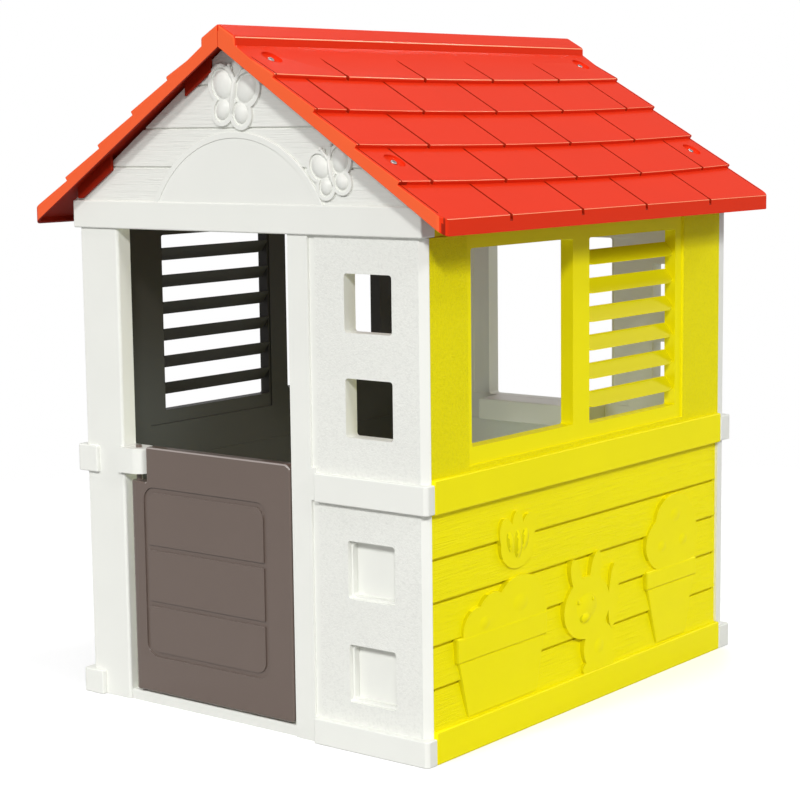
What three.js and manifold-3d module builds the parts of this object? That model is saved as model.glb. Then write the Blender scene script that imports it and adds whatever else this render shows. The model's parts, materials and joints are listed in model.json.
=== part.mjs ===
// Children's plastic playhouse: moulded wall panels, two gables and two roof
// halves held together by screws, with a half-height door on two moulded pins.
//
// Millimetres, +Z up. The door side faces -Y. The origin is on the ground under
// the middle of the house. Both side walls come from one mould, the left one
// turned half a turn about Z, and so do the gables and the roof halves.

import * as THREE from 'three';
import { mergeVertices } from 'three/addons/utils/BufferGeometryUtils.js';
import Module from 'manifold-3d';

const wasm = await Module();
wasm.setup();

// ---------------------------------------------------------------- dimensions

const GAP = 0.3; // clearance between pieces that touch

// Plan of the walls
const SIDE_X = 416.5; // outer plane of the side walls
const END_Y = 510.5; // outer plane of the front and back walls
const SIDE_THICK = 31;
const END_THICK = 34;
const CORNER_CHAMFER = 15.5;
const SIDE_FRONT_Y = -493.5; // end of the side wall that laps behind the front wall
const SIDE_REAR_Y = 472.5; // end of the side wall that butts against the back wall

// Heights shared by the walls
const WALL_TOP = 905;
const SIDE_RAIL_TOP = 940;
const SIDE_SPLIT = 436; // joint between lower and upper side wall
const SIDE_BELT = [436, 496];
const SIDE_BASE_TOP = 58;
const END_SPLIT = 438; // joint between lower and upper back wall
const END_BELT = [438, 489];
const END_BASE_TOP = 47;
const BELT_PROUD = 8;
const BASE_PROUD = 11;
const CORNER_CUT = 6; // chamfer on the corners of belts and bases

// Side wall
const BOARDS = 5;
const BOARD_STEP = 4.5;
const PILASTER_FRONT_Y = -385;
const PILASTER_REAR_Y = 334;
const FRAME_RECESS = 4;
const FRAME_BOTTOM = 505;
const OPEN_WINDOW = { y: [-372, -55], z: [537, 881] };
const LOUVRE_WINDOW = { y: [0, 310], z: [532, 880] };
const SLATS = 6;
const SLAT_FIRST = 561; // underside of the lowest slat
const SLAT_PITCH = 53.5;
const SLAT_RISE = 26.5;
const SLAT_X = [387.5, 408];
const SLAT_THICK = 6;
const LUG = { x: 361.5, y: [454.2, 476.2], halfHeight: 30 };

// Front wall
const STRIP_X = [117.5, 170];
const PANEL_X = 176;
const PANEL_RECESS = 3;
const FRONT_WINDOW_X = [242, 346];
const FRONT_WINDOWS_Z = [[557, 660], [739, 841]];
const FRONT_BLINDS_Z = [[86, 190], [272, 375]];
const BLIND_DEPTH = 24;
const POST_X = -305;
const POST_BLOCK_X = -370;
const SILL = { y: [-506, -477], top: 20 };

// Hinge and half door
const HINGE = { x: -277, y: -497 };
const HINGE_LUG = { radius: 25, y: -493.6, left: -313.5, z: [444, 492] };
const DOOR = { right: 114.5, front: -512, back: -488, z: [25, 497] };
const DOOR_NOTCH = { x: -245.5, z: 430 };
const BARREL_RADIUS = 14.5;
const PIN_RADIUS = 6;
const SOCKET_RADIUS = 6.5;
const UPPER_PIN_TOP = 484;
const LOWER_PIN_BOTTOM = 12;

// Back wall
const BACK_WINDOW = { x: 160, z: [493, 848] };
const BACK_SIDE_X = [260, 360];
const BACK_SIDES_Z = [[535, 635], [697, 797]];
const SHELF = { x: 143, y: 410, z: [446, 492.5] };
const BACK_PANEL = { x: [30, 190], z: [90, 380], depth: 5 };

// Gable
const BEAM_TOP = 957;
const BEAM_PROUD = 5;
const GABLE_LINE = 1245; // height of the sloping edges' line over the middle
const GABLE_SLOPE = 0.692;
const GABLE_TOP = 1225; // short flat top under the ridge
const ARCH = { halfWidth: 202.5, top: 1083, proud: 4, steps: 16 };

// Roof half
const RIDGE = { x: 0.2, z: 1270 };
const CAP_X = 41;
const CAP_STEP = 13.5;
const EAVE_X = 490;
const EAVE_BOTTOM = 911;
const ROOF_Y = 550;
const ROWS = 5;
const ROW_STEP = 8.5;
const ROOF_SLOPE = 0.67; // fall of the row ends per millimetre across
const ROW_LINE = 1268; // height of the row-end line over the ridge
const UNDERSIDE_RIDGE = 1230;
const CAVITY_LINE = 1248;
const LIP = 6; // thickness of the lips round the roof half
const BOSSES = [
  { x: 73, pad: [50, 96], hook: [49, 114], drop: 10 },
  { x: 343, pad: [320, 364], hook: [307, 400], drop: 17 },
];
const BOSS_Y = [472, 512];
const HOOK_Y = 518; // front face of the hooks, which hang down over the gable's face
const RECESS = { radius: 20, depth: 6 };

// Screws
const SCREW = { radius: 2.5, head: 6, headHeight: 3.5, point: 5, sides: 12 };
const BORE_RADIUS = 3;
const ROOF_SCREW_Y = 490;
const ROOF_SCREW_LENGTH = 40;
const CORNER_SCREW = { x: 372.5, lower: 300, upper: 666, length: 36 };
const GABLE_SCREW = { x: 375, y: 493.5, length: 75, counterbore: 8 };

// ------------------------------------------------------------------ finishes

const WHITE = { color: 0xe9ebe4, roughness: 0.5, metalness: 0 };
const LIME = { color: 0xdfd80f, roughness: 0.42, metalness: 0 };
const TAUPE = { color: 0x66584f, roughness: 0.45, metalness: 0 };
const RED = { color: 0xee4428, roughness: 0.38, metalness: 0 };
const STEEL = { color: 0xa9abad, roughness: 0.35, metalness: 1 };

// ------------------------------------------------------------- solid helpers

function solidFrom(geometry) {
  const bare = geometry.clone();
  bare.deleteAttribute('normal');
  bare.deleteAttribute('uv');
  const merged = mergeVertices(bare, 1e-4);
  const mesh = new wasm.Mesh({
    numProp: 3,
    vertProperties: new Float32Array(merged.attributes.position.array),
    triVerts: new Uint32Array(merged.index.array),
  });
  return new wasm.Manifold(mesh);
}

function geometryFrom(solid) {
  const mesh = solid.getMesh();
  const geometry = new THREE.BufferGeometry();
  geometry.setAttribute('position', new THREE.BufferAttribute(mesh.vertProperties, 3));
  geometry.setIndex(new THREE.BufferAttribute(mesh.triVerts, 1));
  return geometry;
}

function box(x, y, z) {
  const geometry = new THREE.BoxGeometry(x[1] - x[0], y[1] - y[0], z[1] - z[0]);
  geometry.translate((x[0] + x[1]) / 2, (y[0] + y[1]) / 2, (z[0] + z[1]) / 2);
  return solidFrom(geometry);
}

function prism(outline, depth, basis) {
  const shape = new THREE.Shape(outline.map(([u, v]) => new THREE.Vector2(u, v)));
  const geometry = new THREE.ExtrudeGeometry(shape, { depth, bevelEnabled: false });
  geometry.applyMatrix4(basis);
  return solidFrom(geometry);
}

// An outline of [x, y] points raised from z[0] to z[1].
function upright(outline, z) {
  return prism(outline, z[1] - z[0], new THREE.Matrix4().makeTranslation(0, 0, z[0]));
}

// An outline of [x, z] points drawn out along Y.
function alongY(outline, y) {
  const basis = new THREE.Matrix4().makeRotationX(Math.PI / 2);
  basis.setPosition(0, y[1], 0);
  return prism(outline, y[1] - y[0], basis);
}

function rod(from, to, radius, sides = 16) {
  const start = new THREE.Vector3(...from);
  const way = new THREE.Vector3(...to).sub(start);
  const geometry = new THREE.CylinderGeometry(radius, radius, way.length(), sides);
  const up = new THREE.Vector3(0, 1, 0);
  const turn = new THREE.Quaternion().setFromUnitVectors(up, way.clone().normalize());
  geometry.applyQuaternion(turn);
  geometry.translate(...start.addScaledVector(way, 0.5).toArray());
  return solidFrom(geometry);
}

function union(pieces) {
  return pieces.reduce((whole, piece) => whole.add(piece));
}

function cut(solid, tools) {
  return tools.reduce((rest, tool) => rest.subtract(tool), solid);
}

// ------------------------------------------------------------------- screws

const roofTilt = Math.atan(ROOF_SLOPE);
const roofNormal = [Math.sin(roofTilt), 0, Math.cos(roofTilt)];
const rowPitch = (EAVE_X - 1 - CAP_X) / ROWS;

// Height of the tiled surface of the right roof half at a distance x across.
function tileHeight(x) {
  const row = Math.floor((x - CAP_X) / rowPitch);
  const x0 = CAP_X + row * rowPitch;
  const x1 = x0 + rowPitch;
  const drop = row === 0 ? CAP_STEP : ROW_STEP;
  const z0 = ROW_LINE - ROOF_SLOPE * x0 - drop;
  const z1 = ROW_LINE - ROOF_SLOPE * x1;
  return z0 + ((z1 - z0) * (x - x0)) / rowPitch;
}

// A screw is its seat (the point under the head), the way its head faces, and a length.
function screwList() {
  const screws = [];
  for (const side of [1, -1]) {
    for (const end of [-1, 1]) {
      for (const { x } of BOSSES) {
        const floor = RECESS.depth - GAP;
        const seatX = x - floor * roofNormal[0];
        const seatZ = tileHeight(x) - floor * roofNormal[2];
        screws.push({
          kind: 'roof_screw',
          seat: [side * seatX, end * ROOF_SCREW_Y, seatZ],
          out: [side * roofNormal[0], 0, roofNormal[2]],
          length: ROOF_SCREW_LENGTH,
        });
      }
      for (const z of [CORNER_SCREW.lower, CORNER_SCREW.upper]) {
        screws.push({
          kind: 'corner_screw',
          seat: [side * CORNER_SCREW.x, end * (LUG.y[0] - GAP), z],
          out: [0, -end, 0],
          length: CORNER_SCREW.length,
        });
      }
      screws.push({
        kind: 'gable_screw',
        seat: [side * GABLE_SCREW.x, end * GABLE_SCREW.y, BEAM_TOP + GAP],
        out: [0, 0, 1],
        length: GABLE_SCREW.length,
      });
    }
  }
  return screws;
}

const screws = screwList();

function screwGeometry(length) {
  const profile = [
    [0, -length],
    [SCREW.radius, SCREW.point - length],
    [SCREW.radius, 0],
    [SCREW.head, 0],
    [SCREW.head, SCREW.headHeight * 0.6],
    [SCREW.head * 0.7, SCREW.headHeight],
    [0, SCREW.headHeight],
  ];
  const points = profile.map(([r, h]) => new THREE.Vector2(r, h));
  const geometry = new THREE.LatheGeometry(points, SCREW.sides);
  geometry.rotateX(Math.PI / 2);
  return geometryFrom(solidFrom(geometry));
}

// Clearance holes for every screw that passes through a piece.
function drilled(solid) {
  const bores = screws.map(({ seat, out, length }) => {
    const start = new THREE.Vector3(...seat);
    const way = new THREE.Vector3(...out);
    const mouth = start.clone().addScaledVector(way, 1);
    const end = start.clone().addScaledVector(way, -length - 1);
    return rod(mouth.toArray(), end.toArray(), BORE_RADIUS, SCREW.sides);
  });
  return cut(solid, bores);
}

// ---------------------------------------------------------------- side walls

// Lugs inside both ends of the side wall, which the corner screws go through.
function cornerLugs(z) {
  const x = [LUG.x, SIDE_X - SIDE_THICK + 0.1];
  const heights = [z - LUG.halfHeight, z + LUG.halfHeight];
  const [near, far] = LUG.y;
  return [box(x, [near, far], heights), box(x, [-far, -near], heights)];
}

function sideWallLower() {
  const inner = SIDE_X - SIDE_THICK;
  const top = SIDE_SPLIT - GAP;
  const pitch = (top - SIDE_BASE_TOP) / BOARDS;
  const outline = [
    [inner, 0],
    [SIDE_X + BELT_PROUD, 0],
    [SIDE_X + BELT_PROUD, SIDE_BASE_TOP],
  ];
  for (let board = 0; board < BOARDS; board += 1) {
    const z = SIDE_BASE_TOP + board * pitch;
    outline.push([SIDE_X, z]);
    outline.push([SIDE_X - BOARD_STEP, z + pitch]);
  }
  outline.push([inner, top]);
  const wall = alongY(outline, [SIDE_FRONT_Y, SIDE_REAR_Y]);
  return drilled(union([wall, ...cornerLugs(CORNER_SCREW.lower)]));
}

function slat(z) {
  const [inX, outX] = SLAT_X;
  const { y } = LOUVRE_WINDOW;
  const outline = [
    [outX - SLAT_THICK, z],
    [outX, z],
    [inX + SLAT_THICK, z + SLAT_RISE],
    [inX, z + SLAT_RISE],
  ];
  return alongY(outline, [y[0] - 1, y[1] + 1]);
}

function sideWallUpper() {
  const inner = SIDE_X - SIDE_THICK;
  const wallY = [SIDE_FRONT_Y, SIDE_REAR_Y];
  const railY = [-(END_Y - END_THICK - GAP), SIDE_REAR_Y];
  const through = [inner - 5, SIDE_X + 5];
  const frame = [SIDE_X - FRAME_RECESS, SIDE_X + 5];
  const wall = box([inner, SIDE_X], wallY, [SIDE_SPLIT, WALL_TOP - GAP]);
  const rail = box([inner, SIDE_X - FRAME_RECESS], railY, [WALL_TOP - 5, SIDE_RAIL_TOP]);
  const belt = box([inner + 5, SIDE_X + BELT_PROUD], wallY, SIDE_BELT);
  const openings = cut(union([wall, rail, belt, ...cornerLugs(CORNER_SCREW.upper)]), [
    box(frame, [PILASTER_FRONT_Y, PILASTER_REAR_Y], [FRAME_BOTTOM, WALL_TOP + 5]),
    box(through, OPEN_WINDOW.y, OPEN_WINDOW.z),
    box(through, LOUVRE_WINDOW.y, LOUVRE_WINDOW.z),
  ]);
  const slats = [];
  for (let i = 0; i < SLATS; i += 1) {
    slats.push(slat(SLAT_FIRST + i * SLAT_PITCH));
  }
  return drilled(union([openings, ...slats]));
}

// ---------------------------------------------------------------- front wall

// A belt or base block that runs along the front and round the right corner.
function frontBlock(left, proud, z) {
  const front = -END_Y - proud;
  const side = SIDE_X + BELT_PROUD;
  const lap = SIDE_FRONT_Y - GAP;
  const outline = [
    [left, front],
    [side - CORNER_CUT, front],
    [side, front + CORNER_CUT],
    [side, lap],
    [SIDE_X - 8, lap],
    [SIDE_X - 8, -END_Y + 8],
    [left, -END_Y + 8],
  ];
  return upright(outline, z);
}

function frontRightPanel() {
  const front = -END_Y;
  const inner = front + END_THICK;
  const lap = SIDE_FRONT_Y - GAP;
  const thick = SIDE_X - SIDE_THICK - GAP;
  const outline = [
    [STRIP_X[0], front],
    [SIDE_X - CORNER_CHAMFER, front],
    [SIDE_X, front + CORNER_CHAMFER],
    [SIDE_X, lap],
    [thick, lap],
    [thick, inner],
    [STRIP_X[0], inner],
  ];
  const slab = upright(outline, [0, WALL_TOP - GAP]);
  const field = box([PANEL_X, SIDE_X + 5], [front - 5, front + PANEL_RECESS], [20, WALL_TOP + 5]);
  const body = union([
    slab.subtract(field),
    frontBlock(PANEL_X - 1, BELT_PROUD, END_BELT),
    frontBlock(STRIP_X[1] - 2, BASE_PROUD, [0, END_BASE_TOP]),
  ]);
  const windows = FRONT_WINDOWS_Z.map((z) => box(FRONT_WINDOW_X, [front - 20, inner + 5], z));
  const blinds = FRONT_BLINDS_Z.map((z) => box(FRONT_WINDOW_X, [front - 20, front + BLIND_DEPTH], z));
  return drilled(cut(body, [...windows, ...blinds]));
}

// The corner of a wall that covers the end of a side wall, with belt and base.
function closedCorner(xFrom, proudBelt, proudBase) {
  const side = SIDE_X + BELT_PROUD;
  const rear = SIDE_REAR_Y + 2 * GAP;
  const block = (proud, z) => {
    const front = END_Y + proud;
    const outline = [
      [xFrom, END_Y - 8],
      [SIDE_X - 8, END_Y - 8],
      [SIDE_X - 8, rear],
      [side, rear],
      [side, front - CORNER_CUT],
      [side - CORNER_CUT, front],
      [xFrom, front],
    ];
    return upright(outline, z);
  };
  return { belt: block(proudBelt, END_BELT), base: block(proudBase, [0, END_BASE_TOP]) };
}

function frontLeftPost() {
  const inner = END_Y - END_THICK;
  const rear = SIDE_REAR_Y + 2 * GAP;
  const thick = SIDE_X - SIDE_THICK + GAP;
  const outline = [
    [-POST_X, inner],
    [thick, inner],
    [thick, rear],
    [SIDE_X, rear],
    [SIDE_X, END_Y - CORNER_CHAMFER],
    [SIDE_X - CORNER_CHAMFER, END_Y],
    [-POST_X + 4, END_Y],
    [-POST_X, END_Y - 4],
  ];
  const slab = upright(outline, [0, WALL_TOP - GAP]);
  const blocks = closedCorner(-POST_BLOCK_X, BELT_PROUD, BASE_PROUD);
  const post = union([slab, blocks.belt, blocks.base]).rotate([0, 0, 180]);
  const { radius, y, left, z } = HINGE_LUG;
  const arm = box([left, HINGE.x], [y - radius, y + radius], z);
  const knuckle = rod([HINGE.x, y, z[0]], [HINGE.x, y, z[1]], radius, 32);
  const socket = rod([HINGE.x, HINGE.y, z[0] - 5], [HINGE.x, HINGE.y, UPPER_PIN_TOP + 2], SOCKET_RADIUS);
  return drilled(union([post, arm, knuckle]).subtract(socket));
}

function doorSill() {
  const bar = box([POST_X + GAP, STRIP_X[0] - GAP], SILL.y, [0, SILL.top]);
  const bottom = [HINGE.x, HINGE.y, LOWER_PIN_BOTTOM - 2];
  const mouth = [HINGE.x, HINGE.y, SILL.top + 5];
  return bar.subtract(rod(bottom, mouth, SOCKET_RADIUS));
}

function halfDoor() {
  const { x, y } = HINGE;
  const leaf = box([x, DOOR.right], [DOOR.front, DOOR.back], DOOR.z);
  const notch = box([x - 5, DOOR_NOTCH.x], [DOOR.front - 5, DOOR.back + 5], [DOOR_NOTCH.z, DOOR.z[1] + 5]);
  const barrel = rod([x, y, DOOR.z[0]], [x, y, DOOR_NOTCH.z], BARREL_RADIUS, 24);
  const pin = rod([x, y, LOWER_PIN_BOTTOM], [x, y, UPPER_PIN_TOP], PIN_RADIUS);
  return union([leaf.subtract(notch), barrel, pin]);
}

// ----------------------------------------------------------------- back wall

function backWallPart(z, pieces, tools) {
  const inner = END_Y - END_THICK;
  const rear = SIDE_REAR_Y + 2 * GAP;
  const lap = -SIDE_FRONT_Y + GAP;
  const thick = SIDE_X - SIDE_THICK + GAP;
  const outline = [
    [-thick + 2 * GAP, inner],
    [thick, inner],
    [thick, rear],
    [SIDE_X, rear],
    [SIDE_X, END_Y - CORNER_CHAMFER],
    [SIDE_X - CORNER_CHAMFER, END_Y],
    [-SIDE_X + CORNER_CHAMFER, END_Y],
    [-SIDE_X, END_Y - CORNER_CHAMFER],
    [-SIDE_X, lap],
    [-thick + 2 * GAP, lap],
  ];
  return drilled(cut(union([upright(outline, z), ...pieces]), tools));
}

// Belt and base of the back wall: the front block turned, joined to the closed corner.
function backBlocks() {
  const corner = closedCorner(0, BELT_PROUD, BASE_PROUD);
  const belt = frontBlock(-1, BELT_PROUD, END_BELT).rotate([0, 0, 180]);
  const base = frontBlock(-1, BASE_PROUD, [0, END_BASE_TOP]).rotate([0, 0, 180]);
  return { belt: belt.add(corner.belt), base: base.add(corner.base) };
}

function backWallLower() {
  const depth = [END_Y - BACK_PANEL.depth, END_Y + 5];
  const [from, to] = BACK_PANEL.x;
  const fields = [box([from, to], depth, BACK_PANEL.z), box([-to, -from], depth, BACK_PANEL.z)];
  return backWallPart([0, END_SPLIT - GAP], [backBlocks().base], fields);
}

function backWallUpper() {
  const through = [END_Y - END_THICK - 5, END_Y + 20];
  const tools = [box([-BACK_WINDOW.x, BACK_WINDOW.x], through, BACK_WINDOW.z)];
  const [from, to] = BACK_SIDE_X;
  for (const z of BACK_SIDES_Z) {
    tools.push(box([from, to], through, z));
    tools.push(box([-to, -from], through, z));
  }
  const shelf = box([-SHELF.x, SHELF.x], [SHELF.y, END_Y - END_THICK + 2], SHELF.z);
  return backWallPart([END_SPLIT, WALL_TOP - GAP], [backBlocks().belt, shelf], tools);
}

// -------------------------------------------------------------------- gables

function gable() {
  const inner = -END_Y + END_THICK;
  const beam = box([-SIDE_X, SIDE_X], [-END_Y - BEAM_PROUD, inner], [WALL_TOP, BEAM_TOP]);
  const top = (GABLE_LINE - GABLE_TOP) / GABLE_SLOPE;
  const foot = (GABLE_LINE - BEAM_TOP) / GABLE_SLOPE;
  const boards = [
    [-foot, BEAM_TOP - 5],
    [foot, BEAM_TOP - 5],
    [foot, BEAM_TOP],
    [top, GABLE_TOP],
    [-top, GABLE_TOP],
    [-foot, BEAM_TOP],
  ];
  const rise = ARCH.top - BEAM_TOP;
  const radius = (ARCH.halfWidth ** 2 + rise ** 2) / (2 * rise);
  const spread = Math.asin(ARCH.halfWidth / radius);
  const arch = [[-ARCH.halfWidth, BEAM_TOP - 5], [ARCH.halfWidth, BEAM_TOP - 5]];
  for (let i = 0; i <= ARCH.steps; i += 1) {
    const angle = spread * (1 - (2 * i) / ARCH.steps);
    arch.push([radius * Math.sin(angle), ARCH.top - radius + radius * Math.cos(angle)]);
  }
  const counterbores = [-1, 1].map((side) => {
    const at = [side * GABLE_SCREW.x, -GABLE_SCREW.y];
    return rod([...at, BEAM_TOP], [...at, BEAM_TOP + 40], GABLE_SCREW.counterbore);
  });
  const solid = union([
    beam,
    alongY(boards, [-END_Y, inner]),
    alongY(arch, [-END_Y - ARCH.proud, inner]),
  ]);
  return drilled(cut(solid, counterbores));
}

// ---------------------------------------------------------------------- roof

// A pad under the roof half that sits on the gable's edge, and its hook over the face.
function roofBoss({ pad, hook, drop }, end) {
  const top = (x) => CAVITY_LINE + 3 - ROOF_SLOPE * x;
  const seat = (x) => GABLE_LINE - GABLE_SLOPE * x + 2 * GAP;
  const [x0, x1] = pad;
  const outline = [[x0, seat(x0)], [x1, seat(x1)], [x1, top(x1)], [x0, top(x0)]];
  const fall = (UNDERSIDE_RIDGE - EAVE_BOTTOM) / EAVE_X;
  const [u0, u1] = hook;
  const low = (x) => Math.max(UNDERSIDE_RIDGE - fall * x - drop, BEAM_TOP + 3);
  const level = Math.min(u1 - 1, (UNDERSIDE_RIDGE - drop - BEAM_TOP - 3) / fall);
  const face = [[u0, low(u0)], [level, low(level)], [u1, low(u1)], [u1, top(u1)], [u0, top(u0)]];
  const span = (y) => (end > 0 ? y : [-y[1], -y[0]]);
  return union([alongY(outline, span(BOSS_Y)), alongY(face, span([END_Y + GAP, HOOK_Y]))]);
}

function roofHalf() {
  const top = [[RIDGE.x, RIDGE.z], [CAP_X, ROW_LINE - ROOF_SLOPE * CAP_X + 6]];
  for (let row = 0; row < ROWS; row += 1) {
    const x0 = CAP_X + row * rowPitch;
    const x1 = x0 + rowPitch;
    top.push([x0, tileHeight(x0 + 1e-6)]);
    top.push([x1, ROW_LINE - ROOF_SLOPE * x1]);
  }
  const outline = [...top, [EAVE_X, EAVE_BOTTOM + 4], [EAVE_X - 4, EAVE_BOTTOM], [RIDGE.x, UNDERSIDE_RIDGE]];
  const cavity = [
    [LIP, UNDERSIDE_RIDGE - 40],
    [EAVE_X - LIP, EAVE_BOTTOM - 40],
    [EAVE_X - LIP, CAVITY_LINE - ROOF_SLOPE * (EAVE_X - LIP)],
    [LIP, CAVITY_LINE - ROOF_SLOPE * LIP],
  ];
  const shell = alongY(outline, [-ROOF_Y, ROOF_Y]).subtract(alongY(cavity, [LIP - ROOF_Y, ROOF_Y - LIP]));
  const bosses = [];
  const recesses = [];
  for (const end of [-1, 1]) {
    for (const boss of BOSSES) {
      const { x } = boss;
      bosses.push(roofBoss(boss, end));
      const at = (h) => [x + h * roofNormal[0], end * ROOF_SCREW_Y, tileHeight(x) + h * roofNormal[2]];
      recesses.push(rod(at(-RECESS.depth), at(20), RECESS.radius, 24));
    }
  }
  return drilled(cut(union([shell, ...bosses]), recesses));
}

// ------------------------------------------------------------------ assembly

const playhouse = new THREE.Group();

function addPart(name, geometry, finish, place = {}) {
  const mesh = new THREE.Mesh(geometry, new THREE.MeshStandardMaterial(finish));
  mesh.name = name;
  if (place.halfTurn) mesh.rotation.z = Math.PI;
  if (place.seat) mesh.position.set(...place.seat);
  if (place.out) {
    mesh.quaternion.setFromUnitVectors(new THREE.Vector3(0, 0, 1), new THREE.Vector3(...place.out));
  }
  playhouse.add(mesh);
}

const wallLower = geometryFrom(sideWallLower());
const wallUpper = geometryFrom(sideWallUpper());
const gableEnd = geometryFrom(gable());
const roof = geometryFrom(roofHalf());

addPart('front_left_post', geometryFrom(frontLeftPost()), WHITE);
addPart('front_right_panel', geometryFrom(frontRightPanel()), WHITE);
addPart('door_sill', geometryFrom(doorSill()), WHITE);
addPart('half_door', geometryFrom(halfDoor()), TAUPE);
addPart('right_wall_lower', wallLower, LIME);
addPart('right_wall_upper', wallUpper, LIME);
addPart('left_wall_lower', wallLower, TAUPE, { halfTurn: true });
addPart('left_wall_upper', wallUpper, TAUPE, { halfTurn: true });
addPart('back_wall_lower', geometryFrom(backWallLower()), WHITE);
addPart('back_wall_upper', geometryFrom(backWallUpper()), WHITE);
addPart('front_gable', gableEnd, WHITE);
addPart('back_gable', gableEnd, WHITE, { halfTurn: true });
addPart('roof_right', roof, RED);
addPart('roof_left', roof, RED, { halfTurn: true });

const counts = {};
for (const { kind, seat, out, length } of screws) {
  counts[kind] = (counts[kind] ?? 0) + 1;
  addPart(`${kind}_${counts[kind]}`, screwGeometry(length), STEEL, { seat, out });
}

export default playhouse;
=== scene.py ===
"""A children's plastic playhouse: moulded wall panels, a tiled roof and a half door.

Laid out as an add-on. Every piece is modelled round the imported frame: metres, +Z up,
the door side faces -Y and the origin is on the ground under the middle of the house.
"""

import json
import math

import bpy
from bpy.props import FloatProperty, FloatVectorProperty, PointerProperty
from bpy.types import Operator, Panel, PropertyGroup
from mathutils import Matrix, Vector


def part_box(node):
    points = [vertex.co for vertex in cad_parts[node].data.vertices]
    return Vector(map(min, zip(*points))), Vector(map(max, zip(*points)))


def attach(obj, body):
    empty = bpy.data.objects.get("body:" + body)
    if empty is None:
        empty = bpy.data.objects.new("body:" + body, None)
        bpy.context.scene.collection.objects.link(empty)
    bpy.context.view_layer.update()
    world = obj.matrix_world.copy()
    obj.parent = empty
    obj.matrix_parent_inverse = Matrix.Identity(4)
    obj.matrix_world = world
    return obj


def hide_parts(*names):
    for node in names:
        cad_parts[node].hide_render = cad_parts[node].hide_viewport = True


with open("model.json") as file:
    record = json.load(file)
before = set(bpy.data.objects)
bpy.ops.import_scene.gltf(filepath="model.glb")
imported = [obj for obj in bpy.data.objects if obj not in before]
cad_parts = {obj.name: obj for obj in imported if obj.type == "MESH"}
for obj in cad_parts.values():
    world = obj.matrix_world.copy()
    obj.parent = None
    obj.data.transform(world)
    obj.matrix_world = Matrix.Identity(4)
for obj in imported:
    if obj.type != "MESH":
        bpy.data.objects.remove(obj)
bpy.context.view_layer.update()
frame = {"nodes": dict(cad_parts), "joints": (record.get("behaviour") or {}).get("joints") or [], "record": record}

bl_info = {
    "name": "Plastic playhouse",
    "version": (1, 0, 0),
    "blender": (4, 5, 0),
    "location": "View3D > Sidebar > Playhouse",
    "description": "Models a children's plastic playhouse round its packed frame",
    "category": "Add Mesh",
}

# ------------------------------------------------------------------ the frame's places

MM = 0.001
DEGREE = math.radians(1)
HALF_TURN = Matrix.Rotation(math.pi, 4, "Z")
FRONT_FACING = Matrix(((1, 0, 0), (0, 0, -1), (0, 1, 0)))  # across +X, up +Z, out -Y
SIDE_FACING = Matrix(((0, 0, 1), (1, 0, 0), (0, 1, 0)))  # across +Y, up +Z, out +X

OPENINGS = {
    opening["name"]: (Vector(opening["box_m"][0]), Vector(opening["box_m"][1]))
    for opening in frame["record"]["physics"]["openings"]
}
MARGIN = 1 * MM  # the stated boxes stay this far inside the real openings

POST_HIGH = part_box("front_left_post")[1]
PANEL_LOW, PANEL_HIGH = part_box("front_right_panel")
SILL_LOW, SILL_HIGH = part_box("door_sill")
DOOR_LOW, DOOR_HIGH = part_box("half_door")
SIDE_LOW, SIDE_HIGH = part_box("right_wall_lower")
UPPER_LOW, UPPER_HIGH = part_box("right_wall_upper")
BACK_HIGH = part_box("back_wall_lower")[1]
BACK_TOP_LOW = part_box("back_wall_upper")[0]
GABLE_LOW, GABLE_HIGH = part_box("front_gable")
ROOF_LOW, ROOF_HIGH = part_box("roof_right")

# Outer planes of the walls, and their thicknesses
SIDE_X = GABLE_HIGH.x
BEAM_PROUD = 5 * MM
END_Y = -GABLE_LOW.y - BEAM_PROUD
END_THICK = GABLE_HIGH.y + END_Y
INNER_Y = END_Y - END_THICK
SIDE_THICK = 31 * MM
INNER_X = SIDE_X - SIDE_THICK
GAP = 0.3 * MM
CORNER_CHAMFER = 15.5 * MM
BLOCK_CHAMFER = 6 * MM
BAND_SEAT = 8 * MM  # how far the belts and bases reach into the wall
FAR = 1.0  # how far a cutting tool reaches past the piece
FLUSH = 0.2 * MM  # how near a plane a face counts as on it

# Heights
WALL_TOP = PANEL_HIGH.z
END_BELT = (438 * MM, 489 * MM)
END_BASE = 47 * MM
SIDE_BELT = (UPPER_LOW.z, 496 * MM)
SIDE_BASE = 58 * MM
BELT_PROUD = 8 * MM
BASE_PROUD = 11 * MM

# Half door and its hinge
HINGE = Vector(frame["joints"][0]["pos_m"])
DOOR_FRONT = -0.512
DOOR_BACK = -0.488
DOOR_FOOT = 25 * MM
DOOR_TOP = 0.497
DOOR_NOTCH = Vector((-245.5 * MM, 0, 430 * MM))
LUG_BOTTOM, LUG_TOP = 444 * MM, 492 * MM
LUG_RADIUS = 25 * MM
LUG_Y = -493.6 * MM
LUG_LEFT = -313.5 * MM
LUG_SOCKET = (0.43, 0.486)
SILL_SOCKET = (0.010, 0.03)
SOCKET_RADIUS = 6.5 * MM
PIN_RADIUS = 6 * MM
BARREL_RADIUS = 14.5 * MM

# Roof
ROOF_SLOPE = 0.67  # fall of the tile ends per metre across
ROOF_TILT = math.atan(ROOF_SLOPE)
ROOF_NORMAL = Vector((math.sin(ROOF_TILT), 0, math.cos(ROOF_TILT)))
ROOF_END = ROOF_HIGH.y
ROW_LINE = 1.268
ROWS = 5
CAP_WIDTH = 41 * MM
CAP_STEP = 13.5 * MM
ROW_STEP = 8.5 * MM
ROW_PITCH = (ROOF_HIGH.x - MM - CAP_WIDTH) / ROWS
UNDERSIDE_RIDGE = 1.230
EAVE_BOTTOM = 0.911
UNDERSIDE_SLOPE = (UNDERSIDE_RIDGE - EAVE_BOTTOM) / ROOF_HIGH.x
CAVITY_LINE = 1.248
LIP = 6 * MM

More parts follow.
